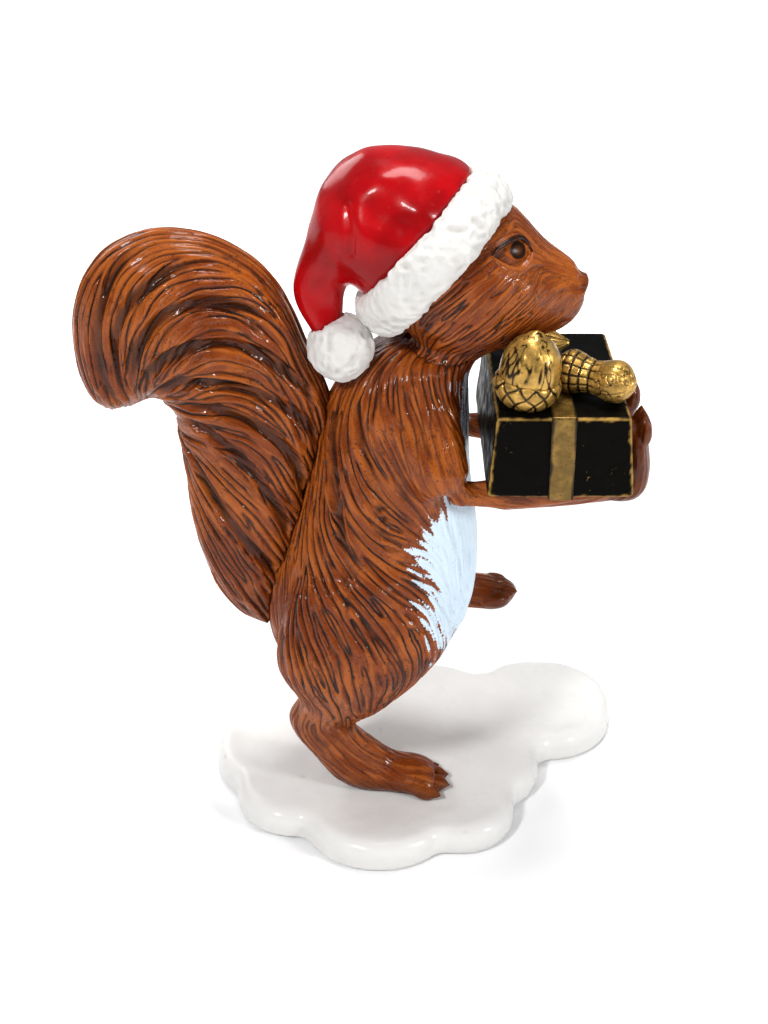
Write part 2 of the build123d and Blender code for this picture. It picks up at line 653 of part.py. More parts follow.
# Acorn, standing on its cup: the nut first, then the cup turned round it
acorn_plane = Plane(
    origin=box_top_centre + Vector(ACORN_SHARES[0] * BOX_LENGTH, ACORN_SHARES[1] * BOX_WIDTH, -NUT_SINK)
).rotated((0, ACORN_TILT, 0))
acorn_radius = ACORN_DIAMETER / 2
with BuildPart() as acorn_nut:
    with BuildSketch(Plane(origin=acorn_plane.origin, x_dir=acorn_plane.x_dir, z_dir=-acorn_plane.y_dir)):
        with BuildLine():
            Spline(*[(out * acorn_radius, up * ACORN_HEIGHT) for out, up in NUT_PROFILE_SHARES])
            Line((0, NUT_PROFILE_SHARES[-1][1] * ACORN_HEIGHT), (0, NUT_PROFILE_SHARES[0][1] * ACORN_HEIGHT))
        make_face()
    revolve(axis=Axis(acorn_plane.origin, acorn_plane.z_dir))
acorn_nut.part.label = "acorn_nut"
with BuildPart() as acorn_cup:
    with BuildSketch(Plane(origin=acorn_plane.origin, x_dir=acorn_plane.x_dir, z_dir=-acorn_plane.y_dir)):
        with BuildLine():
            Spline(*[(out * acorn_radius, up * ACORN_CUP_HEIGHT) for out, up in CUP_PROFILE_SHARES])
            Polyline(
                (CUP_PROFILE_SHARES[-1][0] * acorn_radius, ACORN_CUP_HEIGHT),
                (0, ACORN_CUP_HEIGHT),
                (0, 0),
            )
        make_face()
    revolve(axis=Axis(acorn_plane.origin, acorn_plane.z_dir))
    add(acorn_nut.part, mode=Mode.SUBTRACT)
    add(nut_bed.part, mode=Mode.SUBTRACT)
acorn_cup.part.label = "acorn_cup"

# Peanut: two swellings with a waist, lying on the box
peanut_form = round_form(PEANUT_PROFILE_SHARES, PEANUT_LENGTH, PEANUT_DIAMETER)
peanut_place = box_top_centre + Vector(
    PEANUT_SHARES[0] * BOX_LENGTH, PEANUT_SHARES[1] * BOX_WIDTH, PEANUT_DIAMETER / 2 - NUT_SINK
)
with BuildPart() as peanut:
    with Locations(Location(peanut_place, (0, 0, PEANUT_TURN))):
        add(peanut_form)
    add(nut_bed.part, mode=Mode.SUBTRACT)
    add(acorn_cup.part, mode=Mode.SUBTRACT)
peanut.part.label = "peanut"

# Third nut, lying behind the other two with its point forward
hazelnut_form = round_form(HAZELNUT_PROFILE_SHARES, HAZELNUT_LENGTH, HAZELNUT_DIAMETER)
hazelnut_place = box_top_centre + Vector(
    HAZELNUT_SHARES[0] * BOX_LENGTH, HAZELNUT_SHARES[1] * BOX_WIDTH, HAZELNUT_DIAMETER / 2 - NUT_SINK
)
with BuildPart() as hazelnut:
    with Locations(hazelnut_place):
        add(hazelnut_form)
    add(nut_bed.part, mode=Mode.SUBTRACT)
hazelnut.part.label = "hazelnut"

os.makedirs("parts", exist_ok=True)
for piece in (
    snow_base, base_pads, leg_rod, right_hind_leg, left_hind_leg, left_leg_dowel, torso, tail, tail_dowels,
    head, neck_dowel, hat_trim, hat_crown, hat_pompom, gift_box, gift_ribbon, right_arm, left_arm, arm_dowels,
    acorn_nut, acorn_cup, peanut, hazelnut,
):
    export_step(piece.part, f"parts/{piece.part.label}.step")
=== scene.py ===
"""Dresses the squirrel figurine in carved fur and paint, and sets it on a plain studio stage."""

import math

import bmesh
import bpy
import numpy as np
from bpy.props import FloatProperty, FloatVectorProperty, PointerProperty
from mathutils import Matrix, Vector, kdtree


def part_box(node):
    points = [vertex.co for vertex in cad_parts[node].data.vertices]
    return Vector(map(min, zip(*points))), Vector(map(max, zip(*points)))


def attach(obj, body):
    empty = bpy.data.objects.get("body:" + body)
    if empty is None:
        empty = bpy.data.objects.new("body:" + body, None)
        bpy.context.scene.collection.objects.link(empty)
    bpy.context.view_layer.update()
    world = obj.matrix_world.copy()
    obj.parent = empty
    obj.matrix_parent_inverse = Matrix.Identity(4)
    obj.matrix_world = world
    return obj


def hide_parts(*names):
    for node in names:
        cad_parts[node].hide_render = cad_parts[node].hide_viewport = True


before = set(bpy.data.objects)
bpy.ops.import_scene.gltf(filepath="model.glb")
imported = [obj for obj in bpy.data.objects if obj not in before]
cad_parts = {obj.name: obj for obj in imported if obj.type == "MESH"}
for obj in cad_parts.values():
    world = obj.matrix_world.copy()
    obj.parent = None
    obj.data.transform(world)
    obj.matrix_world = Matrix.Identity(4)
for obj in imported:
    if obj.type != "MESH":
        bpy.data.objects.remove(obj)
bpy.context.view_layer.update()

bl_info = {
    "name": "Squirrel figurine",
    "version": (1, 0, 0),
    "blender": (4, 5, 0),
    "location": "3D View > Sidebar > Figurine",
    "description": "Builds the painted castings of a squirrel figurine over its packed solids",
    "category": "Object",
}

MM = 0.001
FUR_NODES = ("torso", "head", "right_arm", "left_arm", "right_hind_leg", "left_hind_leg")
TORSO, HEAD, STANDING_LEG = (FUR_NODES.index(node) for node in ("torso", "head", "right_hind_leg"))
BOX_TAPER = math.radians(5)
ACORN_TILT = math.radians(7)
PEANUT_TURN = math.radians(-31)
# The eye's place as x and z, the way it looks out, its half width and half height, and where its iris sits
EYE_PLACE = (31.8, 255.5)
EYE_OUT = (0.36, 0.88, 0.31)
EYE_HALF = (8.4, 6.0)
IRIS_PLACE = (2.3, 0.6)
# A distance from the belly's edge that lies well outside its white paint
OFF_BELLY = -20.0
# Lamps: name, place, size and power
LAMPS = (
    ("key", (-0.55, -0.75, 0.95), 0.18, 8.5),
    ("fill", (0.85, -0.55, 0.55), 0.18, 5.0),
    ("top", (0.05, 0.15, 1.15), 0.40, 7.5),
    ("rim", (-0.55, 0.75, 0.60), 0.60, 3.5),
)
LAMP_AIM = Vector((-0.01, 0, 0.13))
FLOOR_REACH = 3000

# How the carved fur lies, seen from the side: a place as x and z in millimetres, the direction there, and how
# deep the grooves are, from 0 for smooth to 1
BODY_COMB = (
    (-34, 192, 0.20, -0.98, 0.8), (-30, 176, 0.45, -0.89, 1.0), (-18, 176, 0.61, -0.80, 1.0),
    (-9, 162, 0.71, -0.70, 0.8), (-10, 147, 0.89, -0.46, 0.9), (-2, 136, 0.91, -0.41, 0.6),
    (-1, 124, 0.82, -0.57, 0.8), (-41, 157, 0.29, -0.96, 1.0), (-27, 147, 0.65, -0.76, 1.0),
    (-18, 132, 0.73, -0.69, 1.0), (-48, 132, 0.33, -0.94, 1.0), (-36, 122, 0.58, -0.82, 1.0),
    (-18, 111, 0.53, -0.85, 1.0), (-5, 101, 0.39, -0.92, 1.0), (3, 95, 0.10, -1.00, 0.9),
    (-23, 90, 0.24, -0.97, 1.0), (-41, 101, 0.51, -0.86, 1.0), (-53, 106, 0.27, -0.96, 1.0),
    (2, 201, 0.29, -0.96, 0.6), (10, 195, 0.11, -0.99, 0.5), (-19, 201, 0.13, -0.99, 0.7),
    (12, 225, -0.67, -0.74, 0.5), (-9, 221, 0.00, -1.00, 0.5), (-2, 185, 0.38, -0.93, 0.5),
    (8, 174, 0.19, -0.98, 0.15), (0, 165, 0.50, -0.87, 0.2), (-6, 181, 0.45, -0.89, 0.3),
    (5, 191, 0.25, -0.97, 0.3), (-3, 172, 0.50, -0.87, 0.2), (18, 130, 0.05, -1.00, 0.1),
    (20, 105, -0.10, -1.00, 0.1), (16, 150, 0.10, -1.00, 0.1), (17, 190, 0.05, -1.00, 0.2),
    (30, 163, 1.00, -0.10, 0.2), (60, 163, 1.00, 0.05, 0.15), (80, 175, 0.10, 1.00, 0.1),
    (-38, 76, 0.30, -0.95, 0.9), (-22, 70, 0.10, -0.99, 0.9), (-8, 78, -0.25, -0.97, 0.8),
    (-44, 60, -0.40, -0.92, 0.5), (-36, 42, 0.55, -0.83, 0.35), (-18, 27, 0.80, -0.60, 0.3),
    (5, 19, 1.00, -0.15, 0.15), (30, 86, 1.00, 0.00, 0.2),
    (48, 251, -0.95, 0.05, 0.15), (40, 243, -0.67, -0.75, 0.3), (31, 237, -0.72, -0.69, 0.7),
    (22, 228, -0.72, -0.69, 0.9), (12, 218, -0.56, -0.83, 0.9), (35, 230, -0.84, -0.55, 0.7),
    (46, 233, -0.89, -0.46, 0.3), (31, 268, -0.56, -0.83, 0.3), (41, 260, -0.76, 0.65, 0.35),
    (52, 251, -0.76, 0.65, 0.3), (21, 249, -0.83, -0.56, 0.3), (16, 238, -0.73, -0.69, 0.8),
    (50, 244, -0.94, -0.34, 0.1), (53, 233, -0.72, -0.70, 0.2), (58, 240, -0.72, 0.30, 0.05),
)
TAIL_COMB = (
    (-45, 211, -0.30, 0.95, 0.8), (-42, 187, -0.25, 0.97, 0.9), (-52, 203, -0.44, 0.90, 0.9),
    (-66, 207, -0.97, 0.23, 1.0), (-81, 203, -0.85, -0.53, 1.0), (-59, 223, -0.72, 0.70, 0.9),
    (-72, 237, -1.00, 0.00, 0.9), (-85, 233, -0.79, -0.61, 1.0), (-94, 219, -0.47, -0.88, 1.0),
    (-64, 253, -0.84, 0.54, 0.4), (-52, 240, -0.61, 0.79, 0.6), (-85, 259, -0.99, -0.10, 0.3),
    (-102, 253, -0.76, -0.65, 0.5), (-116, 238, -0.37, -0.93, 0.9), (-112, 219, 0.00, -1.00, 0.9),
    (-105, 235, -0.26, -0.96, 0.9), (-120, 211, 0.08, -1.00, 0.8), (-101, 211, -0.17, -0.99, 0.8),
    (-60, 183, -0.70, 0.71, 1.0), (-71, 182, -0.99, 0.11, 1.0), (-83, 180, -0.99, -0.12, 1.0),
    (-68, 168, -0.75, 0.66, 1.0), (-79, 172, -0.72, 0.69, 1.0), (-76, 158, -0.63, 0.77, 1.0),
    (-57, 166, -0.43, 0.90, 1.0), (-88, 205, -0.60, -0.80, 0.9), (-86, 195, -0.97, -0.22, 0.9),
    (-85, 145, -0.55, 0.83, 1.0), (-65, 140, -0.45, 0.89, 1.0), (-75, 118, -0.45, 0.89, 1.0),
    (-63, 105, -0.35, 0.94, 0.9), (-110, 195, 0.20, -0.98, 0.6),
)
# Left edge of the white belly: height, then how far forward it starts
BELLY_EDGE = ((60, 26), (75, 22), (90, 15), (101, 9), (111, 3), (120, 5), (134, 1), (143, -1), (154, 10),
              (164, 17), (205, 17), (212, 40))
# Lines along the elbow, measured from the mid-plane, and along the toes, where the castings are rounded
ELBOW = ((9, 37, 160), (18, 36, 160))
RAISED_TOES = ((45, 21, 86), (44, 30, 86))
TOES = ((16, -13, 15), (16, -25, 15))
# Soft forms of the face: middle as x, distance from the mid-plane and z, then reach, height and how much the
# distance from the mid-plane counts
FACE_FORMS = (
    ((33, 18, 264), 6.0, 0.8, 1.0), ((61, 0, 238), 3.0, 0.6, 0.7), ((61.5, 0, 233.8), 2.8, -2.6, 0.4),
    ((60.5, 0, 243), 4.0, -1.4, 0.5), ((57.5, 6, 236), 2.4, -1.0, 1.0), ((58.5, 5, 240), 2.0, -0.9, 1.0),
    ((60, 0, 229), 4.0, -0.6, 0.5), ((56, 0, 220), 9.0, -1.4, 0.5), ((45, 17, 247), 5.0, -0.8, 1.0),
    ((40, 21, 240), 8.0, 0.7, 1.0),
)
# The same for the dents and folds of the hat
HAT_FORMS = (
    ((-14, 24, 271), 9.0, -2.0, 1.0), ((-8, 26, 267), 7.0, -1.2, 1.0), ((-14, 18, 281), 8.0, 0.9, 1.0),
    ((0, 24, 272), 6.0, 0.9, 1.0), ((-34, 14, 262), 8.0, 0.7, 1.0),
)
HAT_CREASE = ((-25, 23, 256), (-24.5, 23, 264), (-26, 19, 272))
MOUTH_LINE = ((60.5, 0, 228), (57, 6, 225.5), (51, 12, 223.5), (45, 16, 223.5))
# Edges of the eye from its rear corner to its front corner, as distances forward and up from its middle
UPPER_LID = ((-9.0, -1.2), (-6.2, 1.4), (-2.2, 3.7), (1.8, 5.0), (4.6, 5.0), (7.2, 2.8), (8.4, -0.2))
LOWER_LID = ((-9.0, -1.2), (-6.2, -3.4), (-2.4, -5.4), (1.4, -6.2), (4.8, -5.2), (7.4, -2.8), (8.4, -0.2))


class FurSettings(bpy.types.PropertyGroup):
    """Sizes and colours of the carved fur."""

    mesh_step: FloatProperty(name="Mesh step", description="Size of one face of the carved castings",
                             default=0.0006, min=0.0004, unit="LENGTH", precision=5)
    groove_spacing: FloatProperty(name="Groove spacing", default=0.0021, unit="LENGTH", precision=5,
                                  description="Distance between carved grooves on the body")
    groove_width: FloatProperty(name="Groove width", description="Width of a carved groove",
                                default=0.0012, unit="LENGTH", precision=5)
    groove_depth: FloatProperty(name="Groove depth", description="Depth of the carved grooves on the body",
                                default=0.0009, unit="LENGTH", precision=5)
    tail_groove_spacing: FloatProperty(name="Tail groove spacing", default=0.0024, unit="LENGTH", precision=5,
                                       description="Distance between grooves on the tail")
    tail_groove_depth: FloatProperty(name="Tail groove depth", description="Depth of the grooves on the tail",
                                     default=0.0009, unit="LENGTH", precision=5)
    ridge: FloatVectorProperty(name="Ridges", description="Paint on the ridges of the fur", subtype="COLOR",
                               size=3, min=0, max=1, default=(0.360, 0.085, 0.010))
    coat: FloatVectorProperty(name="Coat", description="Main paint of the fur", subtype="COLOR",
                              size=3, min=0, max=1, default=(0.190, 0.034, 0.003))
    wash: FloatVectorProperty(name="Wash", description="Dark wash in the grooves", subtype="COLOR",
                              size=3, min=0, max=1, default=(0.014, 0.003, 0.001))
    belly: FloatVectorProperty(name="Belly", description="White paint of the belly", subtype="COLOR",
                               size=3, min=0, max=1, default=(0.64, 0.77, 0.88))
    eye: FloatVectorProperty(name="Eye", description="Paint of the iris", subtype="COLOR",
                             size=3, min=0, max=1, default=(0.16, 0.040, 0.008))


class HatSettings(bpy.types.PropertyGroup):
    """Sizes and colours of the hat."""

    red: FloatVectorProperty(name="Red", description="Paint of the crown", subtype="COLOR",
                             size=3, min=0, max=1, default=(0.440, 0.0015, 0.004))
    fleece: FloatVectorProperty(name="White", description="Paint of the trim and the pompom", subtype="COLOR",
                                size=3, min=0, max=1, default=(0.72, 0.70, 0.67))
    fleece_lump: FloatProperty(name="Fleece lump", description="Size of one lump of the white fleece",
                               default=0.0030, unit="LENGTH", precision=5)
    dent_depth: FloatProperty(name="Dent depth", description="Depth of the soft dents in the crown",
                              default=0.0009, unit="LENGTH", precision=5)


class GiftSettings(bpy.types.PropertyGroup):
    """Sizes and colours of the gift box and the nuts."""

    black: FloatVectorProperty(name="Black", description="Paint of the box", subtype="COLOR",
                               size=3, min=0, max=1, default=(0.0025, 0.0022, 0.0018))
    gold: FloatVectorProperty(name="Gold", description="Antique gold of ribbon and nuts", subtype="COLOR",
                              size=3, min=0, max=1, default=(0.62, 0.36, 0.085))
    rubbed_edge: FloatProperty(name="Rubbed edge", description="Width of the gold rubbed on the box's edges",
                               default=0.0011, unit="LENGTH", precision=5)


class SnowSettings(bpy.types.PropertyGroup):
    """Sizes and colours of the base."""

    white: FloatVectorProperty(name="Snow", description="Paint of the base", subtype="COLOR",
                               size=3, min=0, max=1, default=(0.80, 0.785, 0.76))
    lump_height: FloatProperty(name="Lump height", description="Height of the soft lumps",
                               default=0.0011, unit="LENGTH", precision=5)


class StageSettings(bpy.types.PropertyGroup):
    """The studio: camera, lamps and floor."""

    camera_place: FloatVectorProperty(name="Camera", description="Place of the camera", subtype="TRANSLATION",
                                      size=3, default=(-0.013, -0.5196, 0.4393))
    camera_tilt: FloatProperty(name="Camera tilt", subtype="ANGLE", default=math.radians(30),
                               description="How far the camera looks down")
    lens: FloatProperty(name="Lens", description="Focal length on a 36 mm sensor", default=52.73)
    light: FloatProperty(name="Light", description="Level of all lamps", default=1.0, min=0)
    floor: FloatVectorProperty(name="Floor", description="Colour of the floor", subtype="COLOR",
                               size=3, min=0, max=1, default=(0.93, 0.93, 0.93))


def lattice(cell, seed):
    """A fixed value from -1 to 1 for each cell of a whole-number grid."""
    mixed = cell[:, 0] * 374761393 + cell[:, 1] * 668265263 + cell[:, 2] * 1442695041 + seed * 974634777
    mixed = (mixed ^ (mixed >> 13)) * 1274126177
    return ((mixed ^ (mixed >> 16)) & 0xFFFF) / 32767.5 - 1.0


def lumps(points, size, seed):
    """Smooth solid noise from -1 to 1, with lumps about one size across."""
    place = points / size
    cell = np.floor(place).astype(np.int64)
    part = place - cell
    part = part * part * (3 - 2 * part)
    total = np.zeros(len(points))
    for corner in np.ndindex(2, 2, 2):
        weight = np.prod(np.where(np.array(corner) > 0, part, 1 - part), axis=1)
        total += weight * lattice(cell + np.array(corner), seed)
    return total


def swells(points, forms):
    """Height of the soft forms at each point."""
    height = np.zeros(len(points))
    for middle, reach, rise, wide in forms:
        height += rise * np.exp(-(((points - middle) * (1, wide, 1)) ** 2).sum(1) / (0.5 * reach ** 2))
    return height


def soft_step(low, high, value):
    """0 below low, 1 above high and a smooth rise between them."""
    share = np.clip((value - low) / (high - low), 0, 1)
    return share * share * (3 - 2 * share)


class Skin:
    """The points of a piece's even mesh in millimetres, with their normals and neighbours."""

    def __init__(self, piece):
        mesh = piece.data
        flat = np.empty(len(mesh.vertices) * 3)
        mesh.vertices.foreach_get("co", flat)
        self.piece = piece
        self.points = flat.reshape(-1, 3) / MM
        corners = np.empty(len(mesh.loops), np.int32)
        mesh.loops.foreach_get("vertex_index", corners)
        self.quads = corners.reshape(-1, 4)
        count = len(self.points)
        first, second, third, fourth = self.quads.T.astype(np.int64)
        pairs = ((first, second), (second, third), (third, fourth), (fourth, first),
                 (first, third), (second, fourth))
        keys = [one * count + other for a, b in pairs for one, other in ((a, b), (b, a))]
        self.start, self.end = np.divmod(np.unique(np.concatenate(keys)), count)
        self.first_of = np.searchsorted(self.start, np.arange(count))
        self.degree = np.bincount(self.start, minlength=count)
        self.turn()

    def turn(self):
        """Works the normals out again."""
        corner = self.points[self.quads]
        across = np.cross(corner[:, 2] - corner[:, 0], corner[:, 3] - corner[:, 1])
        count = len(self.points)
        normals = np.stack([
            np.bincount(self.quads.ravel(), np.repeat(across[:, axis], 4), count) for axis in range(3)
        ], 1)
        self.normals = normals / np.maximum(np.linalg.norm(normals, axis=1, keepdims=True), 1e-9)

    def middle(self, values):
        """The mean of each point's neighbours."""
        return np.bincount(self.start, values[self.end], len(self.points)) / self.degree

    def smooth(self, strength, rounds):
        """Moves each point towards the middle of its neighbours, by its own strength."""
        for _ in range(rounds):
            middle = np.stack([self.middle(self.points[:, axis]) for axis in range(3)], 1)
            self.points += strength[:, None] * (middle - self.points)
        self.turn()

    def around(self, marked, rounds):
        """1 at the marked points, falling to 0 over that many neighbours."""
        level = marked.astype(float)
        for _ in range(rounds):
            level = np.maximum(level, np.maximum.reduceat(level[self.end], self.first_of) - 1 / rounds)
        return level

    def folded(self):
        """The points with both sides laid over each other."""
        return self.points * (1, 0, 1) + np.abs(self.points * (0, 1, 0))

    def lift(self, height):
        """Moves the points along their normals."""
        self.points += self.normals * height[:, None]

    def combed(self, guides):
        """Direction of the fur and depth of its grooves at each point, blended from the nearest guides."""
        flow = np.zeros((len(self.points), 3))
        depth = np.zeros(len(self.points))
        total = np.zeros(len(self.points))
        for x, z, along_x, along_z, deep in guides:
            near = 1 / ((self.points[:, 0] - x) ** 2 + (self.points[:, 2] - z) ** 2 + 20.0) ** 1.6
            flow[:, 0] += near * along_x
            flow[:, 2] += near * along_z
            depth += near * deep
            total += near
        flow -= self.normals * (flow * self.normals).sum(1, keepdims=True)
        flow /= np.maximum(np.linalg.norm(flow, axis=1, keepdims=True), 1e-12)
        return flow, depth / total

    def step(self, flow):
        """For each point the neighbours on either side of the flow, and the first one's share."""
        way = self.points[self.end] - self.points[self.start]
        side = np.cross(self.normals, flow)
        ahead = (way * flow[self.start]).sum(1) / np.linalg.norm(way, axis=1)
        aside = (way * side[self.start]).sum(1)
        found = []
        for half in (aside >= 0, aside < 0):
            order = np.lexsort((np.where(half, ahead, -2.0), self.start))
            last = np.searchsorted(self.start[order], np.arange(len(self.points)), side="right") - 1
            found.append(order[last])
        one, other = found
        share = np.abs(aside[other]) / (np.abs(aside[one]) + np.abs(aside[other]) + 1e-9)
        return self.end[one], self.end[other], share

    def comb_steps(self, flow):
        """The steps both ways along the fur."""
        return self.step(flow), self.step(-flow)

    def streaks(self, steps, width, rounds, seed):
        """Noise drawn out along the fur, with mean 0 and spread 1."""
        field = lumps(self.points, width, seed)
        total = field.copy()
        for one, other, share in steps:
            moved = field
            for count in range(rounds):
                moved = share * moved[one] + (1 - share) * moved[other]
                total += moved * (1 - count / rounds)
        broad = total
        for _ in range(30):
            broad = self.middle(broad)
        total = total - broad
        return total / total.std()

    def grooves(self, field):
        """Distance in millimetres to the nearest line where the field is 0, and how clear that line is."""
        gap = np.linalg.norm(self.points[self.end] - self.points[self.start], axis=1)
        slope = np.maximum.reduceat(np.abs(field[self.end] - field[self.start]) / gap, self.first_of)
        slope = self.middle(self.middle(slope))
        usual = np.median(slope)
        return field / np.maximum(slope, 0.3 * usual), soft_step(0.35, 0.85, slope / usual)

    def hollows(self, rounds):
        """How far each point lies below the surface around it, in millimetres."""
        place = self.points
        for _ in range(rounds):
            place = np.stack([self.middle(place[:, axis]) for axis in range(3)], 1)
        return ((place - self.points) * self.normals).sum(1)

    def store(self):
        """Writes the points back to the mesh."""
        self.piece.data.vertices.foreach_set("co", (self.points * MM).ravel())
        self.piece.data.update()


def casting(name, nodes, step):
    """A piece with one closed skin of even faces round the named nodes."""
    form = bmesh.new()
    for node in nodes:
        form.from_mesh(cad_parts[node].data)
    mesh = bpy.data.meshes.new(name)
    form.to_mesh(mesh)
    form.free()
    piece = bpy.data.objects.new(name, mesh)
    bpy.context.scene.collection.objects.link(piece)
    remesh = piece.modifiers.new("Even skin", "REMESH")
    remesh.mode = "VOXEL"
    remesh.voxel_size = step
    bpy.context.view_layer.update()
    even = bpy.data.meshes.new_from_object(piece.evaluated_get(bpy.context.evaluated_depsgraph_get()))
    piece.modifiers.clear()
    piece.data = even
    even.materials.clear()
    if not len(even.polygons):
        raise RuntimeError(f"the skin of {name} came out empty")
    return piece


def note(mesh, **fields):
    """Stores values of the points under their names, for the materials to read."""
    for name, values in fields.items():
        layer = mesh.attributes.new(name, "FLOAT", "POINT")
        layer.data.foreach_set("value", np.asarray(values, np.float32))


def finish(piece, material, slot, *nodes):
    """Paints a piece, sets it on the part and lets it stand for its nodes."""
    piece.data.materials.clear()
    piece.data.materials.append(material)
    piece.data.shade_smooth()
    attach(piece, "root")
    if nodes:
        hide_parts(*nodes)


def from_faces(name, points, faces):
    """A new piece from points in millimetres."""
    mesh = bpy.data.meshes.new(name)
    mesh.from_pydata((np.asarray(points) * MM).tolist(), [], [list(face) for face in faces])
    piece = bpy.data.objects.new(name, mesh)
    bpy.context.scene.collection.objects.link(piece)
    return piece


def tint(colour, level):
    """A colour made lighter or darker."""
    return [level * part for part in colour]


class Paint:
    """A painted finish, with short ways to add its nodes."""

    def __init__(self, name, roughness, coat=0.0, metallic=0.0, coat_roughness=0.1, specular=0.1):
        self.material = bpy.data.materials.new(name)
        self.material.use_nodes = True
        self.tree = self.material.node_tree
        self.shader = self.tree.nodes["Principled BSDF"]
        self.shader.inputs["Roughness"].default_value = roughness
        self.shader.inputs["Coat Weight"].default_value = coat
        self.shader.inputs["Coat Roughness"].default_value = coat_roughness
        self.shader.inputs["Metallic"].default_value = metallic
        self.shader.inputs["Specular IOR Level"].default_value = specular
        self.place = self.tree.nodes.new("ShaderNodeTexCoord").outputs["Object"]

    def put(self, socket, value):
        """Sets a socket, or joins it to another node's output."""
        if isinstance(value, bpy.types.NodeSocket):
            self.tree.links.new(value, socket)
        elif hasattr(value, "__len__") and len(value) == 3 and socket.type == "RGBA":
            socket.default_value = (*value, 1.0)
        else:
            socket.default_value = value

    def noise(self, size, detail=3.0, roughness=0.55, stretch=None):
        """Noise with spots about that many millimetres across."""
        node = self.tree.nodes.new("ShaderNodeTexNoise")
        node.inputs["Scale"].default_value = 1 / (size * MM)
        node.inputs["Detail"].default_value = detail
        node.inputs["Roughness"].default_value = roughness
        place = self.place
        if stretch:
            mapping = self.tree.nodes.new("ShaderNodeMapping")
            mapping.inputs["Scale"].default_value = stretch
            self.tree.links.new(place, mapping.inputs["Vector"])
            place = mapping.outputs["Vector"]
        self.tree.links.new(place, node.inputs["Vector"])
        return node.outputs["Fac"]

    def field(self, name):
        """Values that were stored on the points."""
        node = self.tree.nodes.new("ShaderNodeAttribute")
        node.attribute_name = name
        return node.outputs["Fac"]

    def span(self, value, low, high, to_low=0.0, to_high=1.0):
        """The value between two limits, as a smooth rise."""
        node = self.tree.nodes.new("ShaderNodeMapRange")
        node.interpolation_type = "SMOOTHSTEP"
        for name, setting in (("Value", value), ("From Min", low), ("From Max", high), ("To Min", to_low),
                              ("To Max", to_high)):
            self.put(node.inputs[name], setting)
        return node.outputs["Result"]

    def maths(self, operation, one, other):
        """Arithmetic on two values."""
        node = self.tree.nodes.new("ShaderNodeMath")
        node.operation = operation
        self.put(node.inputs[0], one)
        self.put(node.inputs[1], other)
        return node.outputs[0]

    def times(self, one, other):
        """One value times another."""
        return self.maths("MULTIPLY", one, other)

    def mix(self, share, one, other):
        """A colour between two."""
        node = self.tree.nodes.new("ShaderNodeMix")
        node.data_type = "RGBA"
        self.put(node.inputs[0], share)
        self.put(node.inputs[6], one)
        self.put(node.inputs[7], other)
        return node.outputs[2]

    def clouded(self, size, detail, one, other, low=0.35, high=0.65):
        """Two colours that change over in soft patches about that many millimetres across."""
        return self.mix(self.span(self.noise(size, detail), low, high), one, other)

    def bump(self, height, depth, strength=1.0):
        """Fine relief, with its depth in millimetres."""
        node = self.tree.nodes.new("ShaderNodeBump")
        node.inputs["Distance"].default_value = depth * MM
        node.inputs["Strength"].default_value = strength
        self.put(node.inputs["Height"], height)
        if self.shader.inputs["Normal"].is_linked:
            self.put(node.inputs["Normal"], self.shader.inputs["Normal"].links[0].from_socket)
        self.put(self.shader.inputs["Normal"], node.outputs["Normal"])

    def colour(self, value):
        """The finish's own colour."""
        self.put(self.shader.inputs["Base Color"], value)

    def rough(self, value):
        """Roughness that differs over the surface."""
        self.put(self.shader.inputs["Roughness"], value)


def fur_paint(settings):
    """Varnished orange-brown paint with a dark wash in the grooves, painted shade in the broad hollows of the
    carving, and the white belly.
    """
    paint = Paint("carved_fur", 0.30, coat=0.25, coat_roughness=0.06)
    lock = paint.maths("ABSOLUTE", paint.field("lock"), 0.0)
    carve = paint.field("carve")
    groove = paint.times(paint.span(lock, 0.60, 0.20), carve)
    fine = paint.field("fine")
    patches = paint.maths("ADD", paint.noise(24, 4), paint.times(fine, 0.07))
    warm = paint.mix(paint.span(patches, 0.36, 0.66), settings.coat, settings.ridge)
    blotch = paint.span(paint.noise(8, 4), 0.38, 0.62, 0.25, 1.0)
    specks = paint.times(paint.span(paint.noise(0.8, 2, 0.6), 0.58, 0.68), blotch)
    lines = paint.times(paint.span(paint.maths("ABSOLUTE", fine, 0.0), 0.30, 0.05), blotch)
    dirt = paint.maths("MAXIMUM", paint.times(specks, 0.8), paint.times(lines, 0.55))
    speckled = paint.mix(dirt, warm, settings.wash)
    dark = paint.times(groove, paint.span(paint.noise(9, 3), 0.28, 0.60, 0.6, 1.0))
    # Painted shade: the broad hollows of the carving are darkened towards the wash colour
    sunk = paint.mix(paint.times(paint.field("hollow"), 0.75), speckled, settings.wash)
    washed = paint.mix(dark, sunk, settings.wash)
    browned = paint.mix(paint.times(paint.field("brown"), 0.75), washed,
                        [0.35 * one + 0.65 * other for one, other in zip(settings.coat, settings.wash)])
    spots = paint.times(paint.span(paint.noise(1.6, 3), 0.58, 0.74), 0.35)
    white = paint.mix(spots, settings.belly, (0.30, 0.30, 0.32))
    ragged = paint.span(paint.noise(0.9, 3), 0.3, 0.7, -2.0, 2.0)
    scratch = paint.maths("ADD", paint.times(fine, 3.4), ragged)
    painted = paint.span(paint.maths("ADD", paint.field("edge"), scratch), -0.7, 0.7)
    paint.colour(paint.mix(painted, browned, white))
    dull = paint.maths("ADD", paint.noise(5, 3), paint.times(groove, 0.25))
    paint.rough(paint.span(dull, 0.3, 0.8, 0.24, 0.5))
    paint.bump(paint.noise(0.8, 3), 0.12, 0.6)
    paint.bump(fine, 0.12, 0.6)
    paint.bump(paint.times(paint.span(lock, 0.0, 1.1), carve), 0.45, 0.8)
    return paint.material


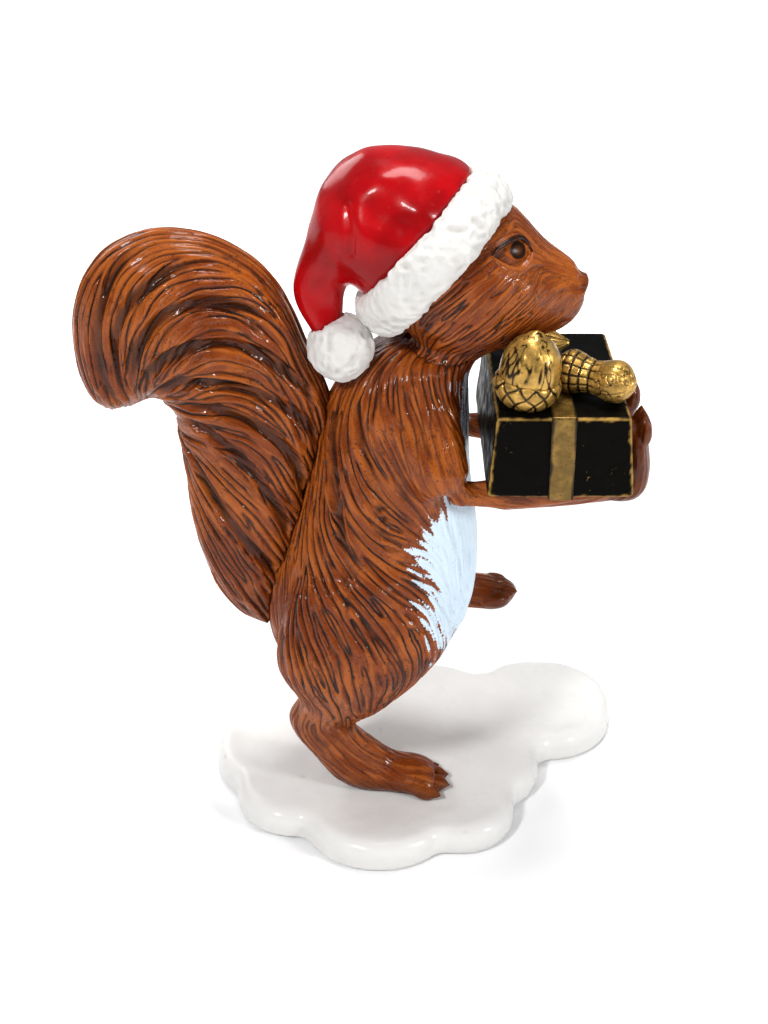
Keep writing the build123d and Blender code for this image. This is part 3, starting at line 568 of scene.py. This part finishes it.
class FIGURINE_OT_body(bpy.types.Operator):
    """Carves the fur of the torso, head, arms and hind legs, and splits it into the castings"""

    bl_idname = "figurine.body"
    bl_label = "Body and limbs"

    def execute(self, context):
        settings = context.scene.figurine_fur
        whole = casting("body_skin", FUR_NODES, settings.mesh_step)
        skin = Skin(whole)
        owner = nearest_node(skin.points, FUR_NODES)
        seam = np.bincount(skin.start, owner[skin.start] != owner[skin.end], len(skin.points)) > 0
        skin.smooth(0.6 * skin.around(seam, 24), 90)
        throat = skin.around(seam & np.isin(owner, (TORSO, HEAD)) & (skin.points[:, 2] > 200), 26)
        skin.smooth(0.6 * throat, 280)
        skin.smooth(0.6 * soft_step(16, 8, from_line(skin.folded(), ELBOW)), 200)
        toes = np.minimum(from_line(skin.points, RAISED_TOES), from_line(skin.points, TOES))
        skin.smooth(0.5 * soft_step(7, 3, toes), 40)
        shape_face(skin)
        sunk = skin.hollows(40)
        skin.lift(-0.5 * np.clip(sunk, -0.2, 0.8) * (owner != HEAD))
        flow, depth = skin.combed(BODY_COMB)
        for side in (-1, 1):
            eye = eye_frame(skin.points, side)[0]
            depth *= soft_step(5, 12, np.linalg.norm(skin.points - eye, axis=1))
        steps = skin.comb_steps(flow)
        carved = skin.streaks(steps, settings.groove_spacing / MM, 40, 3)
        finer = skin.streaks(steps, 0.7 * settings.groove_spacing / MM, 18, 4)
        carved = np.where(owner == HEAD, finer, carved)
        fine = skin.streaks(steps, 1.0, 14, 11)
        reach = np.interp(skin.points[:, 2], *zip(*BELLY_EDGE))
        belly = np.isin(owner, (TORSO, STANDING_LEG))
        edge = np.where(belly, skin.points[:, 0] - reach + 0.8 * carved, OFF_BELLY)
        white = soft_step(-4, 4, edge)
        depth *= 1 - 0.9 * white
        lock, clear = skin.grooves(carved)
        lock *= np.where(owner == HEAD, 1.7, 1.0)
        relief = 1 - soft_step(0, settings.groove_width / MM, np.abs(lock))
        rough = 0.08 * fine * (0.4 + depth + 2.0 * white)
        skin.lift(-settings.groove_depth / MM * depth * clear * relief + rough)
        paws = soft_step(26, 16, skin.points[:, 2]) + soft_step(70, 78, skin.points[:, 0])
        paws += soft_step(28, 36, skin.points[:, 0]) * (skin.points[:, 2] < 100)
        nose = soft_step(57.5, 60.5, skin.points[:, 0]) * (skin.points[:, 2] > 236) * (owner == HEAD)
        skin.store()
        # The paint darkens the broad hollows of the carving as painted shade, fading out at the throat
        values = {"lock": lock, "carve": np.clip(1.5 * depth * clear, 0, 1), "edge": edge, "fine": fine,
                  "brown": np.clip(paws + nose, 0, 1), "hollow": soft_step(0.05, 0.6, sunk) * (1 - throat)}
        material = fur_paint(settings)
        for index, node in enumerate(FUR_NODES):
            mine = owner[skin.quads[:, 0]] == index
            used, faces = np.unique(skin.quads[mine], return_inverse=True)
            piece = from_faces(node + "_fur", skin.points[used], faces.reshape(-1, 4))
            note(piece.data, **{name: field[used] for name, field in values.items()})
            finish(piece, material, "fur", node)
        bpy.data.objects.remove(whole)
        return {"FINISHED"}


def nearest_node(points, nodes):
    """Which of the nodes each point lies on."""
    owners = []
    places = []
    for index, node in enumerate(nodes):
        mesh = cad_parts[node].data
        flat = np.empty(len(mesh.vertices) * 3)
        mesh.vertices.foreach_get("co", flat)
        places.append(flat.reshape(-1, 3) / MM)
        owners.append(np.full(len(mesh.vertices), index))
    places = np.concatenate(places)
    owners = np.concatenate(owners)
    tree = kdtree.KDTree(len(places))
    for index, place in enumerate(places):
        tree.insert(place, index)
    tree.balance()
    return np.array([owners[tree.find(point)[1]] for point in points])


def eye_frame(points, side):
    """Middle of an eye on the surface, and its directions forward, up and out."""
    gap = (points[:, 0] - EYE_PLACE[0]) ** 2 + (points[:, 2] - EYE_PLACE[1]) ** 2
    middle = points[np.argmin(np.where(side * points[:, 1] > 8, gap, 1e9))]
    out = np.array(EYE_OUT) * (1, side, 1)
    out /= np.linalg.norm(out)
    fore = np.array([1.0, 0, 0]) - out[0] * out
    fore /= np.linalg.norm(fore)
    return middle, fore, -side * np.cross(out, fore), out


def from_line(points, line):
    """Distance of each point to a line of straight runs."""
    nearest = np.full(len(points), 1e9)
    for one, other in zip(line, line[1:]):
        one, other = np.array(one, float), np.array(other, float)
        along = np.clip((points - one) @ (other - one) / ((other - one) ** 2).sum(), 0, 1)
        nearest = np.minimum(nearest, np.linalg.norm(points - one - along[:, None] * (other - one), axis=1))
    return nearest


def shape_face(skin):
    """Brows, cheeks, nostrils, chin, the line of the mouth and the sockets of the eyes."""
    folded = skin.folded()
    skin.smooth(0.5 * soft_step(12, 8, np.linalg.norm(folded - (32, 18, 255), axis=1)), 150)
    height = swells(folded, FACE_FORMS)
    height -= 0.7 * np.exp(-(from_line(folded, MOUTH_LINE) / 0.9) ** 2)
    for side in (-1, 1):
        middle, fore, rise, out = eye_frame(skin.points, side)
        local = skin.points - middle
        near = (np.linalg.norm(local, axis=1) < 14) & (local @ out > -7)
        flat = np.stack([local[near] @ fore, local[near] @ rise], 1)
        upper = np.array(UPPER_LID)
        lower = np.array(LOWER_LID)
        rim = np.minimum(from_line(flat, upper), from_line(flat, lower))
        below = flat[:, 1] < np.interp(flat[:, 0], *upper.T)
        inside = below & (flat[:, 1] > np.interp(flat[:, 0], *lower.T))
        crease = from_line(flat, upper + (0.3, 2.4))
        height[near] += np.where(inside, -1.2 * soft_step(0, 1.2, rim), 0) + 0.5 * np.exp(-(rim / 1.3) ** 2)
        height[near] -= 0.6 * np.exp(-(crease / 0.8) ** 2)
    skin.lift(height)
    skin.turn()


class FIGURINE_OT_tail(bpy.types.Operator):
    """Carves the arched locks of the tail"""

    bl_idname = "figurine.tail"
    bl_label = "Tail"

    def execute(self, context):
        settings = context.scene.figurine_fur
        piece = casting("tail_fur", ("tail",), settings.mesh_step)
        skin = Skin(piece)
        sunk = skin.hollows(40)
        skin.lift(-0.9 * np.clip(sunk, -0.3, 1.0))
        skin.turn()
        flow, depth = skin.combed(TAIL_COMB)
        steps = skin.comb_steps(flow)
        carved = skin.streaks(steps, settings.tail_groove_spacing / MM, 60, 5)
        fine = skin.streaks(steps, 1.0, 16, 17)
        lock, clear = skin.grooves(carved)
        relief = clear * (1 - soft_step(0, settings.groove_width / MM, np.abs(lock)))
        rounded = 0.3 * np.clip(carved, -1, 1)
        skin.lift(depth * (rounded - settings.tail_groove_depth / MM * relief) + 0.08 * fine)
        skin.store()
        # The paint darkens the broad hollows of the tail as painted shade
        note(piece.data, lock=lock, carve=np.clip(1.5 * depth * clear, 0, 1), fine=fine, brown=0 * fine,
             edge=np.full(len(fine), OFF_BELLY), hollow=soft_step(0.05, 0.5, sunk))
        finish(piece, bpy.data.materials["carved_fur"], "fur", "tail")
        return {"FINISHED"}


class FIGURINE_OT_hat_crown(bpy.types.Operator):
    """Dents the red bag of the hat"""

    bl_idname = "figurine.hat_crown"
    bl_label = "Hat crown"

    def execute(self, context):
        settings = context.scene.figurine_hat
        piece = casting("hat_crown_bag", ("hat_crown",), 0.0009)
        skin = Skin(piece)
        skin.smooth(np.full(len(skin.points), 0.5), 4)
        dent = settings.dent_depth / MM
        folded = skin.folded()
        height = dent * lumps(skin.points, 17, 21) + 0.35 * dent * lumps(skin.points, 7, 22)
        height += swells(folded, HAT_FORMS)
        height -= 1.3 * np.exp(-(from_line(folded, HAT_CREASE) / 2.2) ** 2)
        skin.lift(height)
        skin.store()
        paint = Paint("painted_red", 0.26, coat=0.15, coat_roughness=0.08)
        darker = tint(settings.red, 0.62)
        shade = paint.clouded(20, 4, darker, settings.red)
        # Painted sheen: small lighter red patches spread by noise over the crown, standing for crumple
        # reflections
        worn = paint.span(paint.noise(3.2, 4), 0.64, 0.74)
        paint.colour(paint.mix(paint.times(worn, 0.25), shade, (0.62, 0.06, 0.05)))
        paint.rough(paint.span(paint.noise(9, 3), 0.3, 0.7, 0.16, 0.32))
        paint.bump(paint.noise(2.4, 3), 0.10, 0.6)
        finish(piece, paint.material, "hat_red", "hat_crown")
        return {"FINISHED"}


class FIGURINE_OT_hat_fleece(bpy.types.Operator):
    """Gives the trim and the pompom their white fleece"""

    bl_idname = "figurine.hat_fleece"
    bl_label = "Trim and pompom"

    def execute(self, context):
        settings = context.scene.figurine_hat
        paint = Paint("hat_fleece", 0.50, coat=0.05, coat_roughness=0.3)
        shade = paint.clouded(12, 3, tint(settings.fleece, 0.93), settings.fleece)
        # Painted shade: the hollows between the lumps of fleece are darkened towards grey
        paint.colour(paint.mix(paint.times(paint.field("hollow"), 0.55), shade, (0.50, 0.48, 0.44)))
        paint.bump(paint.noise(1.3, 4), 0.35, 0.8)
        for name, node in (("trim_fleece", "hat_trim"), ("pompom_fleece", "hat_pompom")):
            piece = casting(name, (node,), 0.0007)
            skin = Skin(piece)
            lump = settings.fleece_lump / MM
            ridged = 1 - 2 * np.abs(lumps(skin.points, lump, 31))
            broad = 0.6 * lumps(skin.points, 2.6 * lump, 32)
            skin.lift(broad + 0.55 * ridged + 0.25 * lumps(skin.points, 1.6, 33))
            skin.store()
            # Marks the hollows between the lumps, which the paint darkens as painted shade
            note(piece.data, hollow=soft_step(0.2, -0.8, ridged))
            finish(piece, paint.material, "hat_white", node)
        return {"FINISHED"}


class FIGURINE_OT_gift_box(bpy.types.Operator):
    """Rubs gold on the edges of the box and lays its ribbon"""

    bl_idname = "figurine.gift_box"
    bl_label = "Gift box and ribbon"

    def execute(self, context):
        settings = context.scene.figurine_gift
        low, high = (np.array(corner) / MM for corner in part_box("gift_box"))
        piece = casting("gift_box_painted", ("gift_box",), 0.0007)
        skin = Skin(piece)
        narrow = (skin.points[:, 2] - low[2]) * math.tan(BOX_TAPER)
        gaps = np.stack([
            np.minimum(skin.points[:, 0] - low[0], high[0] - skin.points[:, 0]) - narrow,
            np.minimum(skin.points[:, 1] - low[1], high[1] - skin.points[:, 1]) - narrow,
            np.minimum(skin.points[:, 2] - low[2], high[2] - skin.points[:, 2]),
        ], 1)
        edge = np.sort(np.abs(gaps), axis=1)[:, 1]
        worn = edge + 0.5 * lumps(skin.points, 3.0, 41) + 0.3 * lumps(skin.points, 1.2, 42)
        rubbed = settings.rubbed_edge / MM
        skin.lift(0.18 * lumps(skin.points, 8, 43))
        skin.store()
        note(piece.data, rubbed=soft_step(rubbed, 0.3 * rubbed, worn))
        paint = Paint("painted_black", 0.45, specular=0.03)
        scuff = paint.span(paint.noise(1.1, 4), 0.66, 0.74)
        scuffs = paint.times(scuff, paint.span(paint.noise(14, 3), 0.50, 0.68))
        gold = paint.maths("MAXIMUM", paint.field("rubbed"), paint.times(scuffs, 0.7))
        paint.colour(paint.mix(gold, settings.black, tint(settings.gold, 0.6)))
        paint.rough(paint.span(paint.noise(6, 4), 0.3, 0.7, 0.30, 0.60))
        paint.bump(paint.noise(1.4, 3), 0.10, 0.5)
        finish(piece, paint.material, "box_black", "gift_box")

        ribbon = casting("ribbon_gold", ("gift_ribbon",), 0.00035)
        skin = Skin(ribbon)
        low, high = (np.array(corner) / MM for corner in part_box("gift_ribbon"))
        side = np.minimum(skin.points[:, 0] - low[0], high[0] - skin.points[:, 0])
        skin.lift(0.10 * lumps(skin.points, 2.2, 51))
        skin.store()
        side += 0.6 * lumps(skin.points * (1, 0.3, 0.3), 1.6, 52)
        note(ribbon.data, worn=soft_step(1.5, 0.2, side))
        paint = gold_paint("ribbon_gold", settings, 0.42)
        finish(ribbon, paint.material, "old_gold", "gift_ribbon")
        return {"FINISHED"}


def gold_paint(name, settings, level):
    """Antique gold with a black wash where the surface is worn or sunken."""
    paint = Paint(name, 0.30, coat=0.15, metallic=0.6, coat_roughness=0.08)
    gold = tint(settings.gold, level)
    shade = paint.clouded(5, 4, tint(gold, 0.55), gold, high=0.66)
    specks = paint.span(paint.noise(0.8, 3), 0.60, 0.70)
    dirt = paint.maths("MAXIMUM", paint.field("worn"), paint.times(specks, 0.6))
    paint.colour(paint.mix(dirt, shade, (0.014, 0.009, 0.004)))
    paint.rough(paint.span(paint.noise(3, 3), 0.3, 0.7, 0.22, 0.45))
    paint.bump(paint.noise(0.9, 3), 0.08, 0.5)
    return paint


class FIGURINE_OT_nuts(bpy.types.Operator):
    """Carves the acorn, the peanut and the hazelnut"""

    bl_idname = "figurine.nuts"
    bl_label = "Nuts"

    def execute(self, context):
        settings = context.scene.figurine_gift
        paint = gold_paint("nut_gold", settings, 1.0)
        low, high = (np.array(corner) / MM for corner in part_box("acorn_cup"))
        foot = np.array([(low[0] + high[0]) / 2 - 0.7, (low[1] + high[1]) / 2, low[2]])
        up = np.array([math.sin(ACORN_TILT), 0, math.cos(ACORN_TILT)])
        side = np.array([math.cos(ACORN_TILT), 0, -math.sin(ACORN_TILT)])
        for name, node in (("acorn_nut_gold", "acorn_nut"), ("acorn_cup_gold", "acorn_cup")):
            piece = casting(name, (node,), 0.0004)
            skin = Skin(piece)
            place = skin.points - foot
            tall = place @ up
            angle = np.arctan2(place[:, 1], place @ side)
            if node == "acorn_nut":
                drawn = np.stack([place @ side * 1.2, place[:, 1] * 1.2, tall * 0.3], 1)
                rib = lumps(drawn, 2.4, 61) + 0.5 * lumps(drawn, 1.3, 62)
                skin.lift(0.20 * rib)
                lines = soft_step(0.22, 0.08, np.abs(rib)) * soft_step(-0.5, 0.0, lumps(skin.points, 4, 63))
                worn = np.maximum(lines, soft_step(-0.55, -0.9, rib))
            else:
                round_it = angle / (2 * math.pi) * 11 + 0.12 * lumps(skin.points, 4, 64)
                rise = tall / 7.0 + 0.10 * lumps(skin.points, 4, 65)
                one, other = (np.abs((round_it + slant) % 1 - 0.5) for slant in (rise, -rise))
                scale = 2 * np.maximum(one, other)
                skin.lift(-0.45 * soft_step(0.66, 0.95, scale) + 0.15)
                worn = soft_step(0.74, 0.90, scale)
            skin.store()
            note(piece.data, worn=worn)
            finish(piece, paint.material, "old_gold", node)

        low, high = (np.array(corner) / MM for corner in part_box("peanut"))
        along = np.array([math.cos(PEANUT_TURN), math.sin(PEANUT_TURN), 0])
        flat = np.array([-math.sin(PEANUT_TURN), math.cos(PEANUT_TURN), 0])
        piece = casting("peanut_gold", ("peanut",), 0.0004)
        skin = Skin(piece)
        place = skin.points - (low + high) / 2
        length = place @ along
        angle = np.arctan2(place[:, 2], place @ flat)
        net = np.maximum(np.abs((length / 3.4) % 1 - 0.5), np.abs((angle / (2 * math.pi) * 13) % 1 - 0.5)) * 2
        ribs = np.abs(np.cos(7 * angle + lumps(skin.points, 6, 71)))
        netted = soft_step(4, 1, length)
        crackle = soft_step(0.14, 0.04, np.abs(lumps(skin.points, 2.0, 73)))
        crackle *= soft_step(-0.1, 0.3, lumps(skin.points, 5, 74))
        lined = 0.5 * soft_step(0.2, 0.0, ribs) + 0.7 * crackle
        groove = netted * soft_step(0.66, 0.90, net) + (1 - netted) * lined
        skin.lift(-0.55 * groove + 0.12 * lumps(skin.points, 3, 72))
        skin.store()
        note(piece.data, worn=np.clip(groove * 1.2, 0, 1))
        finish(piece, paint.material, "old_gold", "peanut")

        low, high = (np.array(corner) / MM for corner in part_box("hazelnut"))
        piece = casting("hazelnut_gold", ("hazelnut",), 0.00045)
        skin = Skin(piece)
        place = skin.points - (low + high) / 2
        angle = np.arctan2(place[:, 2], place[:, 1])
        rib = np.cos(15 * angle + 1.2 * lumps(skin.points, 5, 81))
        skin.lift(0.16 * rib)
        skin.store()
        note(piece.data, worn=soft_step(-0.5, -1.0, rib))
        finish(piece, paint.material, "old_gold", "hazelnut")
        return {"FINISHED"}


class FIGURINE_OT_eyes(bpy.types.Operator):
    """Sets the painted eyes and their lids on the head"""

    bl_idname = "figurine.eyes"
    bl_label = "Eyes"

    def execute(self, context):
        settings = context.scene.figurine_fur
        head = bpy.data.objects["head_fur"]
        flat = np.empty(len(head.data.vertices) * 3)
        head.data.vertices.foreach_get("co", flat)
        surface = flat.reshape(-1, 3) / MM
        paint = Paint("eye", 0.25, coat=0.04, coat_roughness=0.10, specular=0.06)
        ring = paint.field("ring")
        iris = paint.mix(paint.span(ring, 0.4, 2.4), tint(settings.eye, 0.45), (0.016, 0.006, 0.003))
        ball = paint.clouded(1.5, 3, tint(settings.eye, 0.8), settings.ridge)
        paint.colour(paint.mix(paint.span(ring, 2.9, 3.5), iris, ball))
        paint.bump(paint.noise(0.6, 2), 0.02, 0.4)
        lid_paint = Paint("lids", 0.30, coat=0.1, coat_roughness=0.08, specular=0.12)
        # The upper lid takes the near-black wash colour, partly as a painted eye line and partly as painted
        # shadow under the lid; the lower lid stays close to the ridge brown
        lid = lid_paint.field("dark")
        lid_colour = lid_paint.mix(lid, settings.ridge, settings.wash)
        worn = lid_paint.span(lid_paint.noise(1.2, 3), 0.45, 0.7, 0.0, 0.25)
        lid_paint.colour(lid_paint.mix(worn, lid_colour, settings.coat))
        lid_paint.bump(lid_paint.noise(0.8, 2), 0.06, 0.5)
        for side, name in ((-1, "right"), (1, "left")):
            middle, fore, rise, out = eye_frame(surface, side)
            local = surface - middle
            across, up, proud = local @ fore, local @ rise, local @ out
            near = (np.hypot(across, up) < 14) & (proud > -7)

            def height(u, v, across=across[near], up=up[near], proud=proud[near]):
                gap = np.hypot(across - u, up - v)
                close = np.argsort(gap)[:6]
                return np.average(proud[close], weights=1 / (gap[close] + 0.2))

            turns = np.linspace(0, 2 * math.pi, 97)[:-1]
            points = []
            rings = np.linspace(0, 1, 25)
            base = max(height(0, 0), 0.0)
            for share in rings:
                for turn in turns:
                    u = EYE_HALF[0] * share * math.cos(turn) - 0.2
                    v = EYE_HALF[1] * share * math.sin(turn) - 0.4
                    proud = base - 2.6 + 3.2 * math.sqrt(1 - 0.98 * share ** 2)
                    points.append(middle + u * fore + v * rise + proud * out)
            count = len(turns)
            faces = [
                (ring_index * count + k, ring_index * count + (k + 1) % count,
                 (ring_index + 1) * count + (k + 1) % count, (ring_index + 1) * count + k)
                for ring_index in range(len(rings) - 1) for k in range(count)
            ]
            ball = from_faces(f"{name}_eye", points, faces)
            gaze = middle + IRIS_PLACE[0] * fore + IRIS_PLACE[1] * rise
            offset = np.array(points) - gaze
            note(ball.data, ring=np.hypot(offset @ fore, offset @ rise))
            finish(ball, paint.material, "fur")
            for label, path, radius, dark in (
                ("upper", UPPER_LID, 1.1, 1.0),
                ("lower", LOWER_LID, 0.85, 0.1),
            ):
                path = np.array(path)
                fine = np.linspace(0, len(path) - 1, 49)
                line = np.stack([np.interp(fine, range(len(path)), path[:, axis]) for axis in range(2)], 1)
                for _ in range(8):
                    line[1:-1] = 0.5 * line[1:-1] + 0.25 * (line[:-2] + line[2:])
                spots = np.array([middle + u * fore + v * rise + (height(u, v) + 0.3) * out for u, v in line])
                taper = radius * np.sqrt(np.clip(np.sin(np.linspace(0.08, math.pi - 0.08, len(spots))), 0, 1))
                piece = tube(f"{name}_{label}_lid", spots, taper)
                # How near-black each lid is painted: on the upper lid this is a painted eye line and painted
                # shadow under the lid
                note(piece.data, dark=np.full(len(piece.data.vertices), dark))
                finish(piece, lid_paint.material, "fur")
        return {"FINISHED"}


def tube(name, line, radii, sides=14):
    """A round rod along a line, closed at its ends."""
    ahead = np.gradient(line, axis=0)
    ahead /= np.linalg.norm(ahead, axis=1, keepdims=True)
    first = np.cross(ahead, (0.3, 0.2, 0.93))
    first /= np.linalg.norm(first, axis=1, keepdims=True)
    second = np.cross(ahead, first)
    points = []
    for k in range(sides):
        turn = 2 * math.pi * k / sides
        points.append(line + radii[:, None] * (math.cos(turn) * first + math.sin(turn) * second))
    count = len(line)
    points = np.concatenate(points)
    faces = [
        (k * count + i, k * count + i + 1, (k + 1) % sides * count + i + 1, (k + 1) % sides * count + i)
        for k in range(sides) for i in range(count - 1)
    ]
    faces.append([k * count for k in range(sides)][::-1])
    faces.append([k * count + count - 1 for k in range(sides)])
    return from_faces(name, points, faces)


class FIGURINE_OT_snow_base(bpy.types.Operator):
    """Shapes the soft lumps of the snow"""

    bl_idname = "figurine.snow_base"
    bl_label = "Snow base"

    def execute(self, context):
        settings = context.scene.figurine_snow
        piece = casting("snow_painted", ("snow_base",), 0.001)
        skin = Skin(piece)
        low = np.array(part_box("snow_base")[0]) / MM
        free = soft_step(low[2] + 0.5, low[2] + 4, skin.points[:, 2])
        height = settings.lump_height / MM
        small = 0.5 * lumps(skin.points, 15, 92) + 0.15 * lumps(skin.points, 5, 93)
        rise = height * (lumps(skin.points, 34, 91) + small)
        pits = soft_step(0.72, 0.9, lumps(skin.points, 3.0, 94))
        pits *= soft_step(0.1, 0.5, lumps(skin.points, 25, 95))
        skin.lift(free * (rise - 0.35 * pits))
        skin.store()
        note(piece.data, pit=pits * free)
        paint = Paint("painted_snow", 0.30, coat=0.25, coat_roughness=0.15)
        shade = paint.clouded(30, 4, tint(settings.white, 0.95), settings.white)
        grouped = paint.span(paint.noise(20, 2), 0.5, 0.7)
        stain = paint.times(paint.span(paint.noise(1.0, 3), 0.70, 0.78), grouped)
        spots = paint.maths("MAXIMUM", paint.times(paint.field("pit"), 0.5), paint.times(stain, 0.4))
        paint.colour(paint.mix(spots, shade, (0.42, 0.39, 0.35)))
        paint.rough(paint.span(paint.noise(9, 3), 0.3, 0.7, 0.22, 0.42))
        paint.bump(paint.noise(3.5, 4), 0.22, 0.5)
        finish(piece, paint.material, "snow", "snow_base")
        return {"FINISHED"}


class FIGURINE_OT_pins(bpy.types.Operator):
    """Finishes the rod, the dowels and the pads, whose solids stay as they are"""

    bl_idname = "figurine.pins"
    bl_label = "Rod, dowels and pads"

    def execute(self, context):
        steel = Paint("pin_steel", 0.32, metallic=1.0)
        steel.colour(steel.clouded(3, 4, (0.40, 0.40, 0.41), (0.56, 0.56, 0.57)))
        steel.bump(steel.noise(0.7, 3, stretch=(1, 1, 0.1)), 0.04, 0.5)
        foam = Paint("pad_foam", 0.8)
        foam.colour(foam.clouded(0.8, 3, (0.012, 0.012, 0.013), (0.045, 0.045, 0.047), low=0.4))
        foam.bump(foam.noise(0.6, 3), 0.12, 0.8)
        finishes = {"leg_rod": steel, "neck_dowel": steel, "tail_dowels": steel, "arm_dowels": steel,
                    "left_leg_dowel": steel, "base_pads": foam}
        for node, paint in finishes.items():
            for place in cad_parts[node].material_slots:
                place.material = paint.material
        return {"FINISHED"}


class FIGURINE_OT_stage(bpy.types.Operator):
    """Sets the camera, the lamps and the pale floor"""

    bl_idname = "figurine.stage"
    bl_label = "Stage"

    def execute(self, context):
        settings = context.scene.figurine_stage
        scene = context.scene
        scene.view_settings.view_transform = "Standard"
        camera = bpy.data.objects.new("camera", bpy.data.cameras.new("camera"))
        camera.location = settings.camera_place
        camera.rotation_euler = (math.pi / 2 - settings.camera_tilt, 0, 0)
        camera.data.lens = settings.lens
        camera.data.sensor_width = 36
        camera.data.clip_start = 0.01
        scene.collection.objects.link(camera)
        scene.camera = camera
        for name, place, size, power in LAMPS:
            lamp = bpy.data.lights.new(name, "AREA")
            lamp.shape = "DISK"
            lamp.size = size
            lamp.energy = power * settings.light
            holder = bpy.data.objects.new(name, lamp)
            holder.location = place
            holder.rotation_euler = (LAMP_AIM - Vector(place)).to_track_quat("-Z", "Y").to_euler()
            scene.collection.objects.link(holder)
        world = bpy.data.worlds.new("studio")
        world.use_nodes = True
        world.node_tree.nodes["Background"].inputs["Color"].default_value = (0.93, 0.96, 1.0, 1.0)
        world.node_tree.nodes["Background"].inputs["Strength"].default_value = 0.30
        scene.world = world
        ends = [(x * FLOOR_REACH, y * FLOOR_REACH, 0) for x, y in ((-1, -1), (1, -1), (1, 1), (-1, 1))]
        floor = from_faces("floor", ends, [(0, 1, 2, 3)])
        paint = Paint("floor", 0.65)
        paint.colour(paint.clouded(60, 2, tint(settings.floor, 0.99), settings.floor, 0.3, 0.7))
        away = paint.tree.nodes.new("ShaderNodeVectorMath")
        away.operation = "LENGTH"
        paint.put(away.inputs[0], paint.place)
        rays = paint.tree.nodes.new("ShaderNodeLightPath").outputs
        seen = paint.maths("MAXIMUM", paint.maths("MAXIMUM", rays["Is Camera Ray"], rays["Is Glossy Ray"]),
                         rays["Is Transmission Ray"])
        paint.put(paint.shader.inputs["Emission Color"], (1.0, 1.0, 1.0))
        paint.put(paint.shader.inputs["Emission Strength"],
                  paint.times(seen, paint.span(away.outputs["Value"], 0.18, 0.7, 0.08, 0.75)))
        floor.data.materials.append(paint.material)
        return {"FINISHED"}


class FIGURINE_PT_panel(bpy.types.Panel):
    """Lists the steps that build the figurine"""

    bl_idname = "FIGURINE_PT_panel"
    bl_label = "Squirrel figurine"
    bl_space_type = "VIEW_3D"
    bl_region_type = "UI"
    bl_category = "Figurine"

    def draw(self, context):
        for operator in OPERATORS:
            self.layout.operator(operator.bl_idname)
        for name in SETTINGS:
            group = getattr(context.scene, name)
            box = self.layout.box()
            for key in group.bl_rna.properties.keys():
                if key not in ("rna_type", "name"):
                    box.prop(group, key)


SETTINGS = {
    "figurine_fur": FurSettings,
    "figurine_hat": HatSettings,
    "figurine_gift": GiftSettings,
    "figurine_snow": SnowSettings,
    "figurine_stage": StageSettings,
}
OPERATORS = (
    FIGURINE_OT_body, FIGURINE_OT_tail, FIGURINE_OT_eyes, FIGURINE_OT_hat_crown, FIGURINE_OT_hat_fleece,
    FIGURINE_OT_gift_box, FIGURINE_OT_nuts, FIGURINE_OT_snow_base, FIGURINE_OT_pins, FIGURINE_OT_stage,
)


def register():
    for name, group in SETTINGS.items():
        bpy.utils.register_class(group)
        setattr(bpy.types.Scene, name, PointerProperty(type=group))
    for one in (*OPERATORS, FIGURINE_PT_panel):
        bpy.utils.register_class(one)


def unregister():
    for one in (FIGURINE_PT_panel, *reversed(OPERATORS)):
        bpy.utils.unregister_class(one)
    for name, group in reversed(SETTINGS.items()):
        delattr(bpy.types.Scene, name)
        bpy.utils.unregister_class(group)


def main():
    register()
    for operator in OPERATORS:
        group, name = operator.bl_idname.split(".")
        getattr(getattr(bpy.ops, group), name)()


if __name__ == "__main__":
    main()
